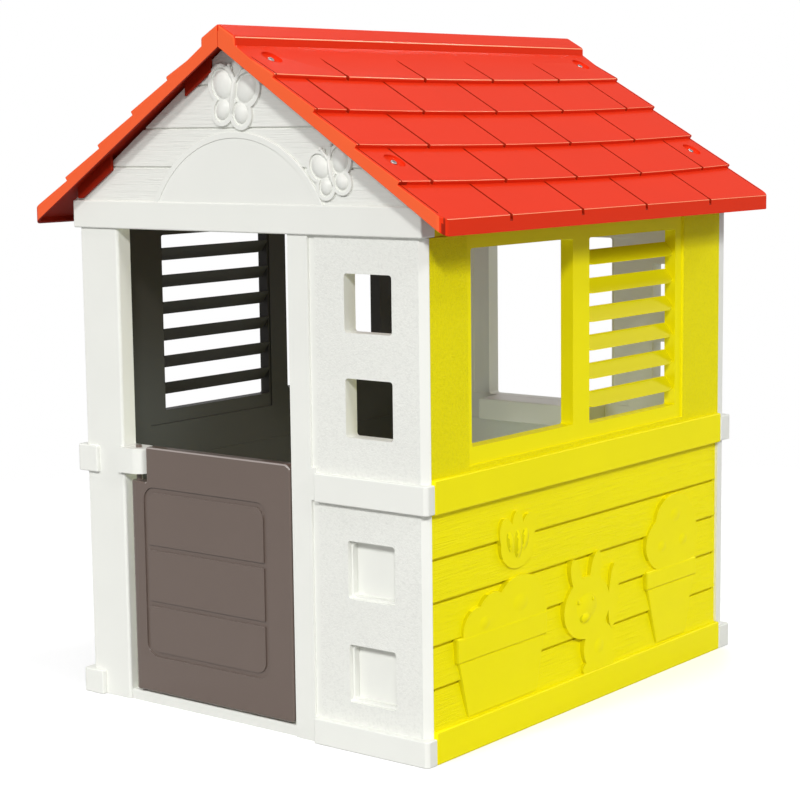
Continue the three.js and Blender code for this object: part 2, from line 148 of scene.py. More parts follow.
# Gable
BEAM_TOP = 957 * MM
GABLE_LINE = 1.245
GABLE_SLOPE = 0.692


# ------------------------------------------------------------------ settings


def colour_setting(name, description, default):
    """A colour that can be changed."""
    return FloatVectorProperty(
        name=name, description=description, default=default, subtype="COLOR", size=3, min=0, max=1)


def length_setting(name, description, default):
    """A length that can be changed."""
    return FloatProperty(name=name, description=description, default=default, subtype="DISTANCE")


def angle_setting(name, description, default):
    """An angle that can be changed."""
    return FloatProperty(name=name, description=description, default=default, subtype="ANGLE")


def strength_setting(name, description, default):
    """A lamp's strength that can be changed."""
    return FloatProperty(name=name, description=description, default=default, min=0)


class PlayhouseColours(PropertyGroup):
    """Colours of the plastics and the screws, and of the highlights and lit ends painted on them."""

    white: colour_setting("White", "Front, back and gable panels", (0.80, 0.806, 0.757))
    lime: colour_setting("Lime", "Right side wall", (0.92, 0.82, 0.001))
    taupe: colour_setting("Taupe", "Half door", (0.140, 0.104, 0.086))
    # Painted highlight: a lighter taupe for the door's rounded edges that face up and out.
    taupe_edge: colour_setting("Taupe edge", "Edges of the half door that shine", (0.33, 0.29, 0.27))
    slate: colour_setting("Slate", "Left side wall", (0.034, 0.031, 0.027))
    red: colour_setting("Red", "Roof tiles", (0.77, 0.034, 0.007))
    # Painted highlight: a cream orange for the tiles' rounded lower edges.
    red_edge: colour_setting("Red edge", "Thin lower edges of the tiles, which shine", (0.95, 0.42, 0.22))
    # Painted light: a lighter, oranger red for the barge ends, as if sunlit.
    orange: colour_setting("Orange", "Ends of the roof halves", (0.88, 0.12, 0.034))
    steel: colour_setting("Steel", "Zinc-plated screws", (0.56, 0.57, 0.58))


class PlayhouseSizes(PropertyGroup):
    """Sizes of the moulded details."""

    block_edge: length_setting("Block edge", "Radius of the belt and base blocks' edges", 2.5 * MM)
    window_corner: length_setting("Window corner", "Corner radius of the square windows", 6 * MM)
    channel: length_setting("Channel", "Width of the channels round the door's panels", 10 * MM)
    channel_depth: length_setting("Channel depth", "Depth of the channels round the door's panels", 3.2 * MM)
    seam: length_setting("Tile seam", "Width of the seams between the roof tiles", 5.5 * MM)
    bow: length_setting("Row bow", "How far the middle of a tile row hangs below its ends", 15 * MM)
    board_step: length_setting("Board step", "How far each clapboard stands over the next", 5 * MM)
    relief: length_setting("Relief", "Height of the moulded figures", 8 * MM)
    stipple: length_setting("Stipple", "Depth of the stippled texture", 1.0 * MM)
    grain: length_setting("Grain", "Depth of the wood grain", 2.4 * MM)


class PlayhouseStage(PropertyGroup):
    """Camera and lights."""

    camera: FloatVectorProperty(
        name="Camera", description="Where the camera stands",
        subtype="TRANSLATION", size=3, default=(2.4932, -3.2111, 1.1020))
    azimuth: angle_setting("Azimuth", "Way the camera looks from, right of the front", 0.6676)
    elevation: angle_setting("Elevation", "How far the camera looks down", 0.1359)
    roll: angle_setting("Roll", "Turn of the camera about its own axis", -0.0121)
    lens: FloatProperty(
        name="Lens", description="Focal length on a 36 mm sensor, in millimetres",
        default=92.57)
    key_azimuth: angle_setting("Key azimuth", "Way round of the lamp at the right front", 40 * DEGREE)
    key_elevation: angle_setting("Key elevation", "Height of the lamp at the right front", 31 * DEGREE)
    key_strength: strength_setting("Key strength", "Strength of the lamp at the right front", 1.6)
    front_azimuth: angle_setting("Front azimuth", "Way round of the lamp at the front", -6 * DEGREE)
    front_elevation: angle_setting("Front elevation", "Height of the lamp at the front", 33 * DEGREE)
    front_strength: strength_setting("Front strength", "Strength of the lamp at the front", 1.15)
    side_azimuth: angle_setting("Side azimuth", "Way round of the lamp at the right", 80 * DEGREE)
    side_elevation: angle_setting("Side elevation", "Height of the lamp at the right", 35 * DEGREE)
    side_strength: strength_setting("Side strength", "Strength of the lamp at the right", 0.65)
    back_azimuth: angle_setting("Back azimuth", "Way round of the lamp at the right back", 158 * DEGREE)
    back_elevation: angle_setting("Back elevation", "Height of the lamp at the right back", 33 * DEGREE)
    back_strength: strength_setting("Back strength", "Strength of the lamp at the right back", 0.5)
    rim_azimuth: angle_setting("Rim azimuth", "Way round of the lamp at the left back", 217 * DEGREE)
    rim_elevation: angle_setting("Rim elevation", "Height of the lamp at the left back", 42 * DEGREE)
    rim_strength: strength_setting("Rim strength", "Strength of the lamp at the left back", 0.5)
    sky_strength: strength_setting("Sky strength", "Strength of the light from all round", 0.25)
    top_strength: strength_setting("Top strength", "Strength of the soft light overhead", 0.2)
    inside_strength: strength_setting("Inside strength", "Power of the soft lamp inside, in watts", 2.6)


# ------------------------------------------------------------------ modelling helpers


def deselect():
    """Leave edit mode and select nothing."""
    if bpy.context.mode != "OBJECT":
        bpy.ops.object.mode_set(mode="OBJECT")
    bpy.ops.object.select_all(action="DESELECT")


def only(piece):
    """Select one object and make it the active one."""
    deselect()
    piece.select_set(True)
    bpy.context.view_layer.objects.active = piece


def placed():
    """Put the new primitive's place into its mesh."""
    piece = bpy.context.object
    bpy.ops.object.transform_apply(location=True, rotation=True, scale=True)
    return piece


def block(low, high):
    """A cuboid between two corners."""
    deselect()
    low, high = Vector(low), Vector(high)
    bpy.ops.mesh.primitive_cube_add(size=1, location=(low + high) / 2, scale=high - low)
    return placed()


def rod(start, end, radius, sides=32):
    """A cylinder between two points."""
    deselect()
    start, end = Vector(start), Vector(end)
    way = end - start
    bpy.ops.mesh.primitive_cylinder_add(
        vertices=sides, radius=radius, depth=way.length, location=(start + end) / 2,
        rotation=way.to_track_quat("Z", "Y").to_euler())
    return placed()


def disc(facing, centre, wide, tall, depth, turn=0.0):
    """An elliptical plate that stands out of a wall."""
    deselect()
    turned = facing @ Matrix.Rotation(turn, 3, "Z")
    bpy.ops.mesh.primitive_cylinder_add(
        vertices=40, radius=1, depth=1, location=Vector(centre) + facing.col[2] * depth / 2,
        rotation=turned.to_euler(), scale=(wide, tall, depth))
    return placed()


def puff(facing, centre, wide, tall, out, turn=0.0, segments=32, rings=16):
    """An ellipsoid that stands out of a wall."""
    deselect()
    turned = facing @ Matrix.Rotation(turn, 3, "Z")
    bpy.ops.mesh.primitive_uv_sphere_add(
        segments=segments, ring_count=rings, radius=1, location=centre,
        rotation=turned.to_euler(), scale=(wide, tall, out))
    return placed()


def modified(piece, kind, **settings):
    """Add a modifier, set it and apply it."""
    only(piece)
    modifier = piece.modifiers.new(kind.title(), kind)
    for key, value in settings.items():
        setattr(modifier, key, value)
    bpy.ops.object.modifier_apply(modifier=modifier.name)
    return piece


def combined(piece, tools, operation):
    """Join, cut or intersect a piece with tool objects, which are used up."""
    for tool in tools:
        modified(piece, "BOOLEAN", object=tool, operation=operation, solver="MANIFOLD")
        bpy.data.objects.remove(tool, do_unlink=True)
    return piece


def joined(piece, *tools):
    """Join tool objects to a piece."""
    return combined(piece, tools, "UNION")


def cut(piece, *tools):
    """Cut tool objects out of a piece."""
    return combined(piece, tools, "DIFFERENCE")


def sliced(piece, point, normal):
    """Cut away what lies on the normal's side of a plane, and close the cut."""
    only(piece)
    bpy.ops.object.mode_set(mode="EDIT")
    bpy.ops.mesh.select_all(action="SELECT")
    bpy.ops.mesh.bisect(plane_co=point, plane_no=normal, use_fill=True, clear_outer=True)
    bpy.ops.object.mode_set(mode="OBJECT")
    return piece


def edges_rounded(piece, chosen, radius, segments=6):
    """Bevel the edges whose middle and direction pass a test."""
    only(piece)
    bpy.ops.object.mode_set(mode="EDIT")
    bpy.ops.mesh.select_mode(type="EDGE")
    bpy.ops.mesh.select_all(action="DESELECT")
    bpy.ops.object.mode_set(mode="OBJECT")
    vertices = piece.data.vertices
    for edge in piece.data.edges:
        first, second = (vertices[i].co for i in edge.vertices)
        edge.select = chosen((first + second) / 2, (second - first).normalized())
    bpy.ops.object.mode_set(mode="EDIT")
    bpy.ops.mesh.bevel(offset=radius, segments=segments, affect="EDGES", clamp_overlap=True)
    bpy.ops.object.mode_set(mode="OBJECT")
    return piece


def corners_rounded(piece, axis, radius):
    """Round the edges that run along an axis: 0, 1 or 2."""
    return edges_rounded(piece, lambda middle, way: abs(way[axis]) > 0.99, radius)


def plate(low, high, axis, radius):
    """A cuboid whose corners, seen along an axis, are rounded."""
    return corners_rounded(block(low, high), axis, radius)


def softened(piece, width, segments=3, angle=32):
    """Round every edge sharper than an angle."""
    return modified(
        piece, "BEVEL", width=width, segments=segments, limit_method="ANGLE",
        angle_limit=math.radians(angle), harden_normals=False)


def copy_of(piece):
    """A copy with its own mesh."""
    deselect()
    twin = piece.copy()
    twin.data = piece.data.copy()
    bpy.context.scene.collection.objects.link(twin)
    return twin


def turned_copy(piece):
    """A copy with its own mesh, turned half a turn about Z."""
    twin = copy_of(piece)
    twin.data.transform(HALF_TURN)
    return twin


def cleaned(piece, angle=35, merge=0.01 * MM):
    """Merge doubles and shade by angle with weighted normals."""
    only(piece)
    bpy.ops.object.mode_set(mode="EDIT")
    bpy.ops.mesh.select_all(action="SELECT")
    bpy.ops.mesh.remove_doubles(threshold=merge)
    bpy.ops.mesh.dissolve_degenerate(threshold=merge)
    bpy.ops.object.mode_set(mode="OBJECT")
    bpy.ops.object.shade_smooth_by_angle(angle=math.radians(angle))
    return modified(piece, "WEIGHTED_NORMAL", keep_sharp=True, weight=80)


def dressed(piece, base, *regions):
    """Give a piece its material, and the faces that pass a test theirs."""
    piece.data.materials.clear()
    piece.data.materials.append(base)
    for material, chosen in regions:
        piece.data.materials.append(material)
        index = len(piece.data.materials) - 1
        for face in piece.data.polygons:
            if chosen(face.center, face.normal):
                face.material_index = index
    return piece


def finished(piece, name, body, slot, *nodes):
    """Name a piece and tie it to the frame."""
    piece.name = name
    piece.data.name = name
    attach(piece, body)
    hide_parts(*nodes)
    return piece


def opening(name):
    """The real opening behind a stated box, as two corners."""
    low, high = OPENINGS[name]
    grow = Vector((MARGIN, MARGIN, MARGIN))
    return low - grow, high + grow


# ------------------------------------------------------------------ materials


class Signal:
    """A socket that can be used in sums, on either side of a number."""

    def __init__(self, finish, socket):
        self.finish = finish
        self.socket = socket

    def _sum(self, operation, first, second):
        return self.finish.node("ShaderNodeMath", {"operation": operation}, {0: first, 1: second})

    def __add__(self, other):
        return self._sum("ADD", self, other)

    def __sub__(self, other):
        return self._sum("SUBTRACT", self, other)

    def __rsub__(self, other):
        return self._sum("SUBTRACT", other, self)

    def __mul__(self, other):
        return self._sum("MULTIPLY", self, other)

    __radd__ = __add__
    __rmul__ = __mul__


class Finish:
    """A material or a world under construction."""

    def __init__(self, owner):
        owner.use_nodes = True
        self.owner = owner
        self.tree = owner.node_tree
        self.tree.nodes.clear()

    def node(self, kind, settings=None, inputs=None, output=0):
        """Add a node: its settings first, then the values or links of its sockets."""
        node = self.tree.nodes.new(kind)
        for key, value in (settings or {}).items():
            setattr(node, key, value)
        for key, value in (inputs or {}).items():
            if isinstance(value, Signal):
                self.tree.links.new(value.socket, node.inputs[key])
            else:
                node.inputs[key].default_value = value
        return Signal(self, node.outputs[output]) if len(node.outputs) else None

    def place(self, scale=(1, 1, 1)):
        """Object coordinates, scaled along each axis."""
        coordinates = self.node("ShaderNodeTexCoord", output=3)
        return self.node("ShaderNodeMapping", {}, {"Vector": coordinates, "Scale": scale})

    def noise(self, vector, scale, detail=3.0, roughness=0.5, distortion=0.0):
        """Smooth noise: its scale is about how many lumps it has per unit."""
        return self.node(
            "ShaderNodeTexNoise", {"noise_dimensions": "3D"},
            {"Vector": vector, "Scale": scale, "Detail": detail, "Roughness": roughness,
             "Distortion": distortion})

    def ramp(self, value, low, high):
        """Stretch a value so that low becomes 0 and high becomes 1."""
        return self.node(
            "ShaderNodeMapRange", {"clamp": True},
            {"Value": value, "From Min": low, "From Max": high})

    def blend(self, factor, first, second):
        """Mix two colours."""
        return self.node(
            "ShaderNodeMix", {"data_type": "RGBA"}, {0: factor, 6: first, 7: second}, output=2)

    def bump(self, height, distance, normal=None):
        """A relief of a given depth, on top of another one where there is one."""
        inputs = {"Height": height, "Distance": distance, "Strength": 1.0}
        if normal:
            inputs["Normal"] = normal
        return self.node("ShaderNodeBump", {}, inputs)

    def surface(self, colour, roughness, normal=None, **constants):
        """The Principled shader and the output."""
        inputs = {"Base Color": colour, "Roughness": roughness}
        if normal:
            inputs["Normal"] = normal
        for key, value in constants.items():
            inputs[key.replace("_", " ")] = value
        shader = self.node("ShaderNodeBsdfPrincipled", {}, inputs)
        self.node("ShaderNodeOutputMaterial", {}, {"Surface": shader})
        return self.owner


def opaque(colour, factor):
    """A colour times a factor, with its alpha."""
    return (*(min(1.0, channel * factor) for channel in colour), 1.0)


def moulded(name, colour, roughness, shine, texture, along=0, coat=0.0, depth=1.0):
    """A moulded plastic: smooth, stippled to a depth, or grained along an axis."""
    sizes = bpy.context.scene.playhouse_sizes
    finish = Finish(bpy.data.materials.new(name))
    place = finish.place()
    cloud = finish.noise(place, scale=6.0, detail=2.0)
    shade = finish.blend(cloud, opaque(colour, 0.965), opaque(colour, 1.035))
    skin = finish.noise(place, scale=420.0, detail=2.0)
    normal = finish.bump(skin, 0.05 * MM)
    gloss = roughness + (cloud - 0.5) * 0.08
    if texture == "stipple":
        lumps = finish.noise(place, scale=330.0, detail=4.0, roughness=0.65)
        specks = finish.noise(place, scale=170.0, detail=5.0, roughness=0.75)
        specks = finish.ramp(specks, low=0.47, high=0.66)
        shade = finish.blend(specks * 0.55, shade, opaque(colour, 0.86))
        normal = finish.bump(lumps, sizes.stipple * depth, normal)
        gloss = gloss + lumps * 0.15
    elif texture == "grain":
        fine = [11.0 if axis == along else 340.0 for axis in range(3)]
        broad = [4.0 if axis == along else 60.0 for axis in range(3)]
        fibres = finish.noise(
            finish.place(fine), scale=1.0, detail=4.0, roughness=0.6, distortion=0.6)
        figure = finish.noise(
            finish.place(broad), scale=1.0, detail=2.0, roughness=0.5, distortion=1.2)
        height = fibres * 0.6 + figure * 0.4
        dark = finish.ramp(fibres, low=0.55, high=0.8) * 0.25
        shade = finish.blend(dark, shade, opaque(colour, 0.88))
        normal = finish.bump(height, sizes.grain, normal)
    return finish.surface(
        shade, gloss, normal, Specular_IOR_Level=shine, Coat_Weight=coat, Coat_Roughness=0.12)


def plated(name, colour):
    """Zinc plating with fine scratches."""
    finish = Finish(bpy.data.materials.new(name))
    place = finish.place()
    cloud = finish.noise(place, scale=90.0, detail=3.0)
    scratches = finish.noise(finish.place((1200.0, 90.0, 1200.0)), scale=1.0, detail=2.0)
    shade = finish.blend(cloud, opaque(colour, 0.85), opaque(colour, 1.1))
    return finish.surface(
        shade, 0.28 + scratches * 0.2, finish.bump(scratches, 0.02 * MM), Metallic=1.0)


# Roughness, shine, coat and depth of the stipple of each panel's plastic
PANEL_FINISHES = {
    "white": (0.42, 0.4, 0.0, 1.0),
    "lime": (0.40, 0.12, 0.0, 2.4),
    "taupe": (0.34, 0.4, 0.6, 1.0),
    "slate": (0.42, 0.3, 0.0, 1.0),
}
# Colour, the share of it that is left, roughness, shine and coat of the plain finishes; some are painted
# highlights, painted light and painted shade
PLAIN_FINISHES = {
    # Painted highlight on the door's upward edges.
    "taupe_edge": ("taupe_edge", 1.0, 0.34, 0.4, 0.6),
    "red_tile": ("red", 1.0, 0.36, 0.03, 0.2),
    # Painted highlight on the tiles' lower edges.
    "red_edge": ("red_edge", 1.0, 0.36, 0.03, 0.2),
    # Painted light: the barge ends lighter and oranger, as if sunlit.
    "red_end": ("orange", 1.0, 0.36, 0.05, 0.4),
    # Painted shade: a darker lime for the figures' front sides and the slats' upper faces.
    "lime_flank": ("lime", 0.74, 0.5, 0.1, 0.0),
    # Painted shade: a darker red inside the seams, slots and border grooves.
    "red_seam": ("red", 0.45, 0.5, 0.1, 0.0),
    # Painted shade: a darker red on the roof's underside and hooks.
    "red_under": ("red", 0.40, 0.5, 0.1, 0.0),
}


def materials():
    """All the house's materials by name, made once."""
    made = {material.name: material for material in bpy.data.materials}
    if "white_smooth" in made:
        return made
    colours = bpy.context.scene.playhouse_colours
    for shade, (roughness, shine, coat, depth) in PANEL_FINISHES.items():
        colour = getattr(colours, shade)
        along = 0 if shade == "white" else 1
        for name, added, settings in (
                ("smooth", 0.0, {"coat": coat}), ("stipple", 0.08, {"depth": depth}),
                ("grain", 0.04, {"along": along})):
            title = f"{shade}_{name}"
            made[title] = moulded(title, colour, roughness + added, shine, name, **settings)
    for name, (shade, share, roughness, shine, coat) in PLAIN_FINISHES.items():
        colour = [channel * share for channel in getattr(colours, shade)]
        made[name] = moulded(name, colour, roughness, shine, "smooth", coat=coat)
    made["steel"] = plated("steel", colours.steel)
    return made


# ------------------------------------------------------------------ shared wall parts


def corner_block(left, proud, low, high, lap):
    """A belt or base block along the front and round the right corner."""
    edge = bpy.context.scene.playhouse_sizes.block_edge
    side = SIDE_X + BELT_PROUD
    front = -END_Y - proud
    body = block((left, front, low), (side, lap, high))
    sliced(body, (side - BLOCK_CHAMFER, front, 0), (1, -1, 0))
    seat = -END_Y + BAND_SEAT
    cut(body, block((left - FAR, seat, low - FAR), (SIDE_X - BAND_SEAT, 0, high + FAR)))
    return softened(body, edge)


def chamfered_slab(low, high):
    """A wall slab whose front right corner is cut at 45 degrees."""
    body = block(low, high)
    return sliced(body, (SIDE_X - CORNER_CHAMFER, -END_Y, 0), (1, -1, 0))


# ------------------------------------------------------------------ front wall

GROOVE_X = (163 * MM, 176 * MM)
GROOVE_DEPTH = 5 * MM
FIELD_RECESS = 3 * MM
BLIND_DEPTH = 24 * MM
BLIND_LEDGE = 4.5 * MM
BASE_LEFT = 168 * MM
FIELD_FOOT = 20 * MM
POST_RIGHT = -305 * MM
POST_BLOCK = -370 * MM


def front_panel():
    """The front wall right of the door, with windows and blind squares."""
    sizes = bpy.context.scene.playhouse_sizes
    made = materials()
    front = -END_Y
    body = chamfered_slab((PANEL_LOW.x, front, 0), (SIDE_X, -INNER_Y, WALL_TOP))
    cut(body, block((INNER_X - GAP, SIDE_LOW.y - GAP, -FAR), (FAR, FAR, 2)))
    left, right = GROOVE_X
    cut(body, block((right, front - FAR, FIELD_FOOT), (FAR, front + FIELD_RECESS, 2)))
    for low, high in ((END_BASE - MM, END_BELT[0] + MM), (END_BELT[1] + BELT_PROUD, 2)):
        cut(body, block((left, front - FAR, low), (right + MM, front + GROOVE_DEPTH, high)))
    for number in (1, 2):
        low, high = opening(f"front_square_window_{number}")
        low.y, high.y = front - FAR, 0
        cut(body, plate(low, high, 1, sizes.window_corner))
        low, high = opening(f"front_blind_square_{number}")
        low.y, high.y = front - FAR, front + BLIND_DEPTH / 2
        cut(body, plate(low, high, 1, sizes.window_corner))
        inset = Vector((BLIND_LEDGE, 0, BLIND_LEDGE))
        low, high = low + inset, high - inset
        high.y = front + BLIND_DEPTH
        cut(body, plate(low, high, 1, sizes.window_corner))
    softened(body, 1.4 * MM)
    lap = SIDE_LOW.y - GAP
    joined(
        body,
        corner_block(right - MM, BELT_PROUD, *END_BELT, lap),
        corner_block(BASE_LEFT, BASE_PROUD, 0, END_BASE, lap))
    cleaned(body)

    def on_field(middle, normal):
        """The stippled field beside the groove."""
        wide = right < middle.x < SIDE_X - CORNER_CHAMFER
        flush = abs(middle.y - front - FIELD_RECESS) < FLUSH
        return normal.y < -0.9 and wide and flush

    dressed(body, made["white_smooth"], (made["white_stipple"], on_field))
    return finished(body, "front_panel", "house", "white_panels", "front_right_panel")


def upright(heights, radius, sides):
    """A cylinder on the hinge's axis between two heights."""
    low, high = heights
    return rod((HINGE.x, HINGE.y, low), (HINGE.x, HINGE.y, high), radius, sides)


def front_post():
    """The post left of the door, with the hinge lug."""
    sizes = bpy.context.scene.playhouse_sizes
    made = materials()
    body = block((-SIDE_X, -END_Y, 0), (POST_RIGHT, -INNER_Y, WALL_TOP))
    sliced(body, (-SIDE_X + CORNER_CHAMFER, -END_Y, 0), (-1, -1, 0))

    def inner_corner(middle, way):
        """The upright edge beside the doorway."""
        return abs(way.z) > 0.9 and middle.x > POST_RIGHT - MM and middle.y < -END_Y + MM

    edges_rounded(body, inner_corner, 6 * MM)
    softened(body, 1.2 * MM)
    joined(body, block((-SIDE_X, -INNER_Y - 2 * MM, 0), (-INNER_X - GAP, POST_HIGH.y, WALL_TOP)))
    for proud, (low, high) in ((BELT_PROUD, END_BELT), (BASE_PROUD, (0, END_BASE))):
        side = -SIDE_X - BELT_PROUD
        corner = block((side, -END_Y - proud, low), (POST_BLOCK, POST_HIGH.y, high))
        sliced(corner, (side + BLOCK_CHAMFER, -END_Y - proud, 0), (-1, -1, 0))
        seat = (-SIDE_X + BAND_SEAT, -END_Y + BAND_SEAT, low - FAR)
        cut(corner, block(seat, (0, 0, high + FAR)))
        joined(body, softened(corner, sizes.block_edge))
    lug = rod((HINGE.x, LUG_Y, LUG_BOTTOM), (HINGE.x, LUG_Y, LUG_TOP), LUG_RADIUS, 48)
    arm_low = (LUG_LEFT, LUG_Y - LUG_RADIUS, LUG_BOTTOM)
    joined(lug, block(arm_low, (HINGE.x, LUG_Y + LUG_RADIUS, LUG_TOP)))
    softened(lug, 4 * MM, 4)
    cut(lug, upright(LUG_SOCKET, SOCKET_RADIUS, 24))
    joined(body, lug)
    cleaned(body)
    dressed(body, made["white_smooth"])
    return finished(body, "front_post", "house", "white_panels", "front_left_post")


def sill():
    """The bar under the door that holds the lower pin."""
    made = materials()
    body = block(SILL_LOW, SILL_HIGH)
    edges_rounded(body, lambda middle, way: abs(way.x) > 0.9 and middle.z > 0.01, 4 * MM, 5)
    softened(body, 0.8 * MM, 2)
    cut(body, upright(SILL_SOCKET, SOCKET_RADIUS, 24))
    cleaned(body)
    dressed(body, made["white_smooth"])
    return finished(body, "sill", "house", "white_panels", "door_sill")


# ------------------------------------------------------------------ half door

DOOR_FRAME = {"x": (-253.6 * MM, 58 * MM), "z": (95 * MM, 421.5 * MM), "corner": 26 * MM}
DOOR_BARS = (198 * MM, 306 * MM)


def half_door():
    """The leaf with three panels, its barrel and both pins."""
    sizes = bpy.context.scene.playhouse_sizes
    made = materials()
    channel = sizes.channel
    leaf = block((HINGE.x, DOOR_FRONT, DOOR_FOOT), (DOOR_HIGH.x, DOOR_BACK, DOOR_TOP))
    for height, radius in ((DOOR_TOP, 15 * MM), (DOOR_FOOT, 10 * MM)):

        def corner(middle, way):
            """The leaf's corner at this height, away from the hinge."""
            return abs(way.y) > 0.9 and middle.x > 0 and abs(middle.z - height) < 5 * MM

        edges_rounded(leaf, corner, radius, 8)
    cut(leaf, plate((HINGE.x - FAR, -FAR, DOOR_NOTCH.z), (DOOR_NOTCH.x, 0, FAR), 1, 4 * MM))
    softened(leaf, 4.5 * MM, 5)
    low_x, high_x = DOOR_FRAME["x"]
    low_z, high_z = DOOR_FRAME["z"]
    depth = DOOR_FRONT + sizes.channel_depth
    for face, back in ((DOOR_FRONT - 0.1, depth), (DOOR_BACK - sizes.channel_depth, DOOR_BACK + 0.1)):
        tool = plate((low_x, face, low_z), (high_x, back, high_z), 1, DOOR_FRAME["corner"])
        inner_low = (low_x + channel, face - FAR, low_z + channel)
        inner_high = (high_x - channel, back + FAR, high_z - channel)
        inner = plate(inner_low, inner_high, 1, DOOR_FRAME["corner"] - channel / 2)
        for bar in DOOR_BARS:
            cut(inner, block((-FAR, -2, bar - channel / 2), (FAR, FAR, bar + channel / 2)))
        cut(tool, inner)
        cut(leaf, tool)
    softened(leaf, 0.8 * MM, 2, 50)
    barrel = upright((DOOR_FOOT, DOOR_NOTCH.z), BARREL_RADIUS, 48)
    softened(barrel, 2 * MM, 3, 60)
    pin = upright((DOOR_LOW.z, DOOR_HIGH.z), PIN_RADIUS, 32)
    softened(pin, 1.2 * MM, 2, 60)
    joined(leaf, barrel, pin)
    cleaned(leaf, 30)

    def edge(middle, normal):
        """The rounded edges that face up and outward, which get a painted highlight."""
        return 0.35 < normal.z < 0.94 and normal.y < -0.3 and middle.x > DOOR_FRAME["x"][0]

    dressed(leaf, made["taupe_smooth"], (made["taupe_edge"], edge))
    return finished(leaf, "door_leaf", "door", "taupe_panels", "half_door")


# ------------------------------------------------------------------ side walls

BOARDS = 5
BOARD_END = (455 * MM, 467 * MM)
PILASTER_Y = (-385 * MM, 334 * MM)
FRAME_RECESS = 4 * MM
FRAME_BOTTOM = 505 * MM
RAIL_TOP = UPPER_HIGH.z
SLATS = 6
SLAT_FIRST = 561 * MM
SLAT_PITCH = 53.5 * MM
SLAT_X = (387.5 * MM, 408 * MM)
SLAT_RISE = 26.5 * MM
SLAT_THICK = 5 * MM
SLAT_CORNER = 14 * MM  # how much of a slat's lower edge the cut at its ends takes
CORNER_LUG = {"x": 361.5 * MM, "y": (454.2 * MM, 476.2 * MM), "half": 30 * MM}
CORNER_SCREW_X = 372.5 * MM
CORNER_SCREW_Y = (440 * MM, 480 * MM)
CORNER_SCREW_Z = {"lower": 0.3, "upper": 0.666}
SCREW_HOLE = 3 * MM
BOARD_GROOVE = (6 * MM, 8.5 * MM)  # height and depth of the shadow gap under a board
FIGURE_ROOT = 8 * MM  # how far the figures reach into the boards
LEDGE_END = 355.6 * MM


def corner_lugs(body, height):
    """The lugs inside both ends of a side wall, with their screw holes."""
    near, far = CORNER_LUG["y"]
    for end in (1, -1):
        span = (near, far) if end > 0 else (-far, -near)
        low = (CORNER_LUG["x"], span[0], height - CORNER_LUG["half"])
        high = (INNER_X + MM, span[1], height + CORNER_LUG["half"])
        joined(body, softened(block(low, high), 2 * MM))
        start, stop = ((CORNER_SCREW_X, end * y, height) for y in CORNER_SCREW_Y)
        cut(body, rod(start, stop, SCREW_HOLE, 16))
    return body


def clapboards(body):
    """Five boards, each thickest at its lower edge."""
    sizes = bpy.context.scene.playhouse_sizes
    pitch = (SIDE_HIGH.z - SIDE_BASE) / BOARDS
    step = sizes.board_step
    lean = Vector((pitch, 0, step))
    for number in range(BOARDS):
        foot = SIDE_BASE + number * pitch
        bottom = foot if number else foot - 2 * MM
        board = block(
            (SIDE_X - 12 * MM, SIDE_LOW.y, bottom), (SIDE_X + MM, SIDE_HIGH.y, foot + pitch))
        sliced(board, (SIDE_X, 0, foot), lean)
        top_end, foot_end = BOARD_END
        sliced(board, (0, foot_end, foot), (0, pitch, foot_end - top_end))
        edges_rounded(
            board, lambda middle, way: middle.z < foot + MM and middle.x > SIDE_X - MM, 1.5 * MM, 3)
        joined(body, board)
    gap, depth = BOARD_GROOVE
    for number in range(1, BOARDS):
        foot = SIDE_BASE + number * pitch
        low = (SIDE_X - depth, SIDE_LOW.y + 3 * MM, foot - gap)
        cut(body, block(low, (SIDE_X + FAR, BOARD_END[1] - 2 * MM, foot)))
    return body


def side_wall_lower():
    """The lower half of the right side wall."""
    step = bpy.context.scene.playhouse_sizes.board_step
    body = block((INNER_X, SIDE_LOW.y, 0), (SIDE_X - step - 0.5 * MM, SIDE_HIGH.y, SIDE_HIGH.z))
    clapboards(body)
    base = block((INNER_X + 5 * MM, SIDE_LOW.y, 0), (SIDE_X + BELT_PROUD, SIDE_HIGH.y, SIDE_BASE))
    joined(body, softened(base, 3 * MM))
    joined(body, *figures())
    corner_lugs(body, CORNER_SCREW_Z["lower"])
    return body


def on_boards(y, z):
    """A point behind the boards' surface."""
    return Vector((SIDE_X - FIGURE_ROOT, y, z))


def moulded_plate(shapes, out):
    """Overlapping elliptical plates as one soft-edged plate: (y, z, wide, tall, turn)."""
    first, *others = [
        disc(SIDE_FACING, on_boards(y, z), wide, tall, out + FIGURE_ROOT, turn)
        for y, z, wide, tall, turn in shapes]
    return softened(joined(first, *others), 6 * MM, 5, 24)


def pot(centre_y, foot, rim_low, rim_top, rim_half, foot_half):
    """A flower pot in relief."""
    relief = bpy.context.scene.playhouse_sizes.relief
    back = SIDE_X - FIGURE_ROOT
    face = SIDE_X + relief - 2 * MM
    body = block(
        (back, centre_y - rim_half, foot), (face - 2.5 * MM, centre_y + rim_half, rim_low + MM))
    for side in (-1, 1):
        lean = Vector((0, side * (rim_low - foot), -(rim_half - foot_half - 6 * MM)))
        sliced(body, (0, centre_y + side * foot_half, foot), lean)
    softened(body, 4 * MM, 4)
    rim = block((back, centre_y - rim_half, rim_low), (face, centre_y + rim_half, rim_top))
    return joined(body, softened(rim, 4 * MM, 4))


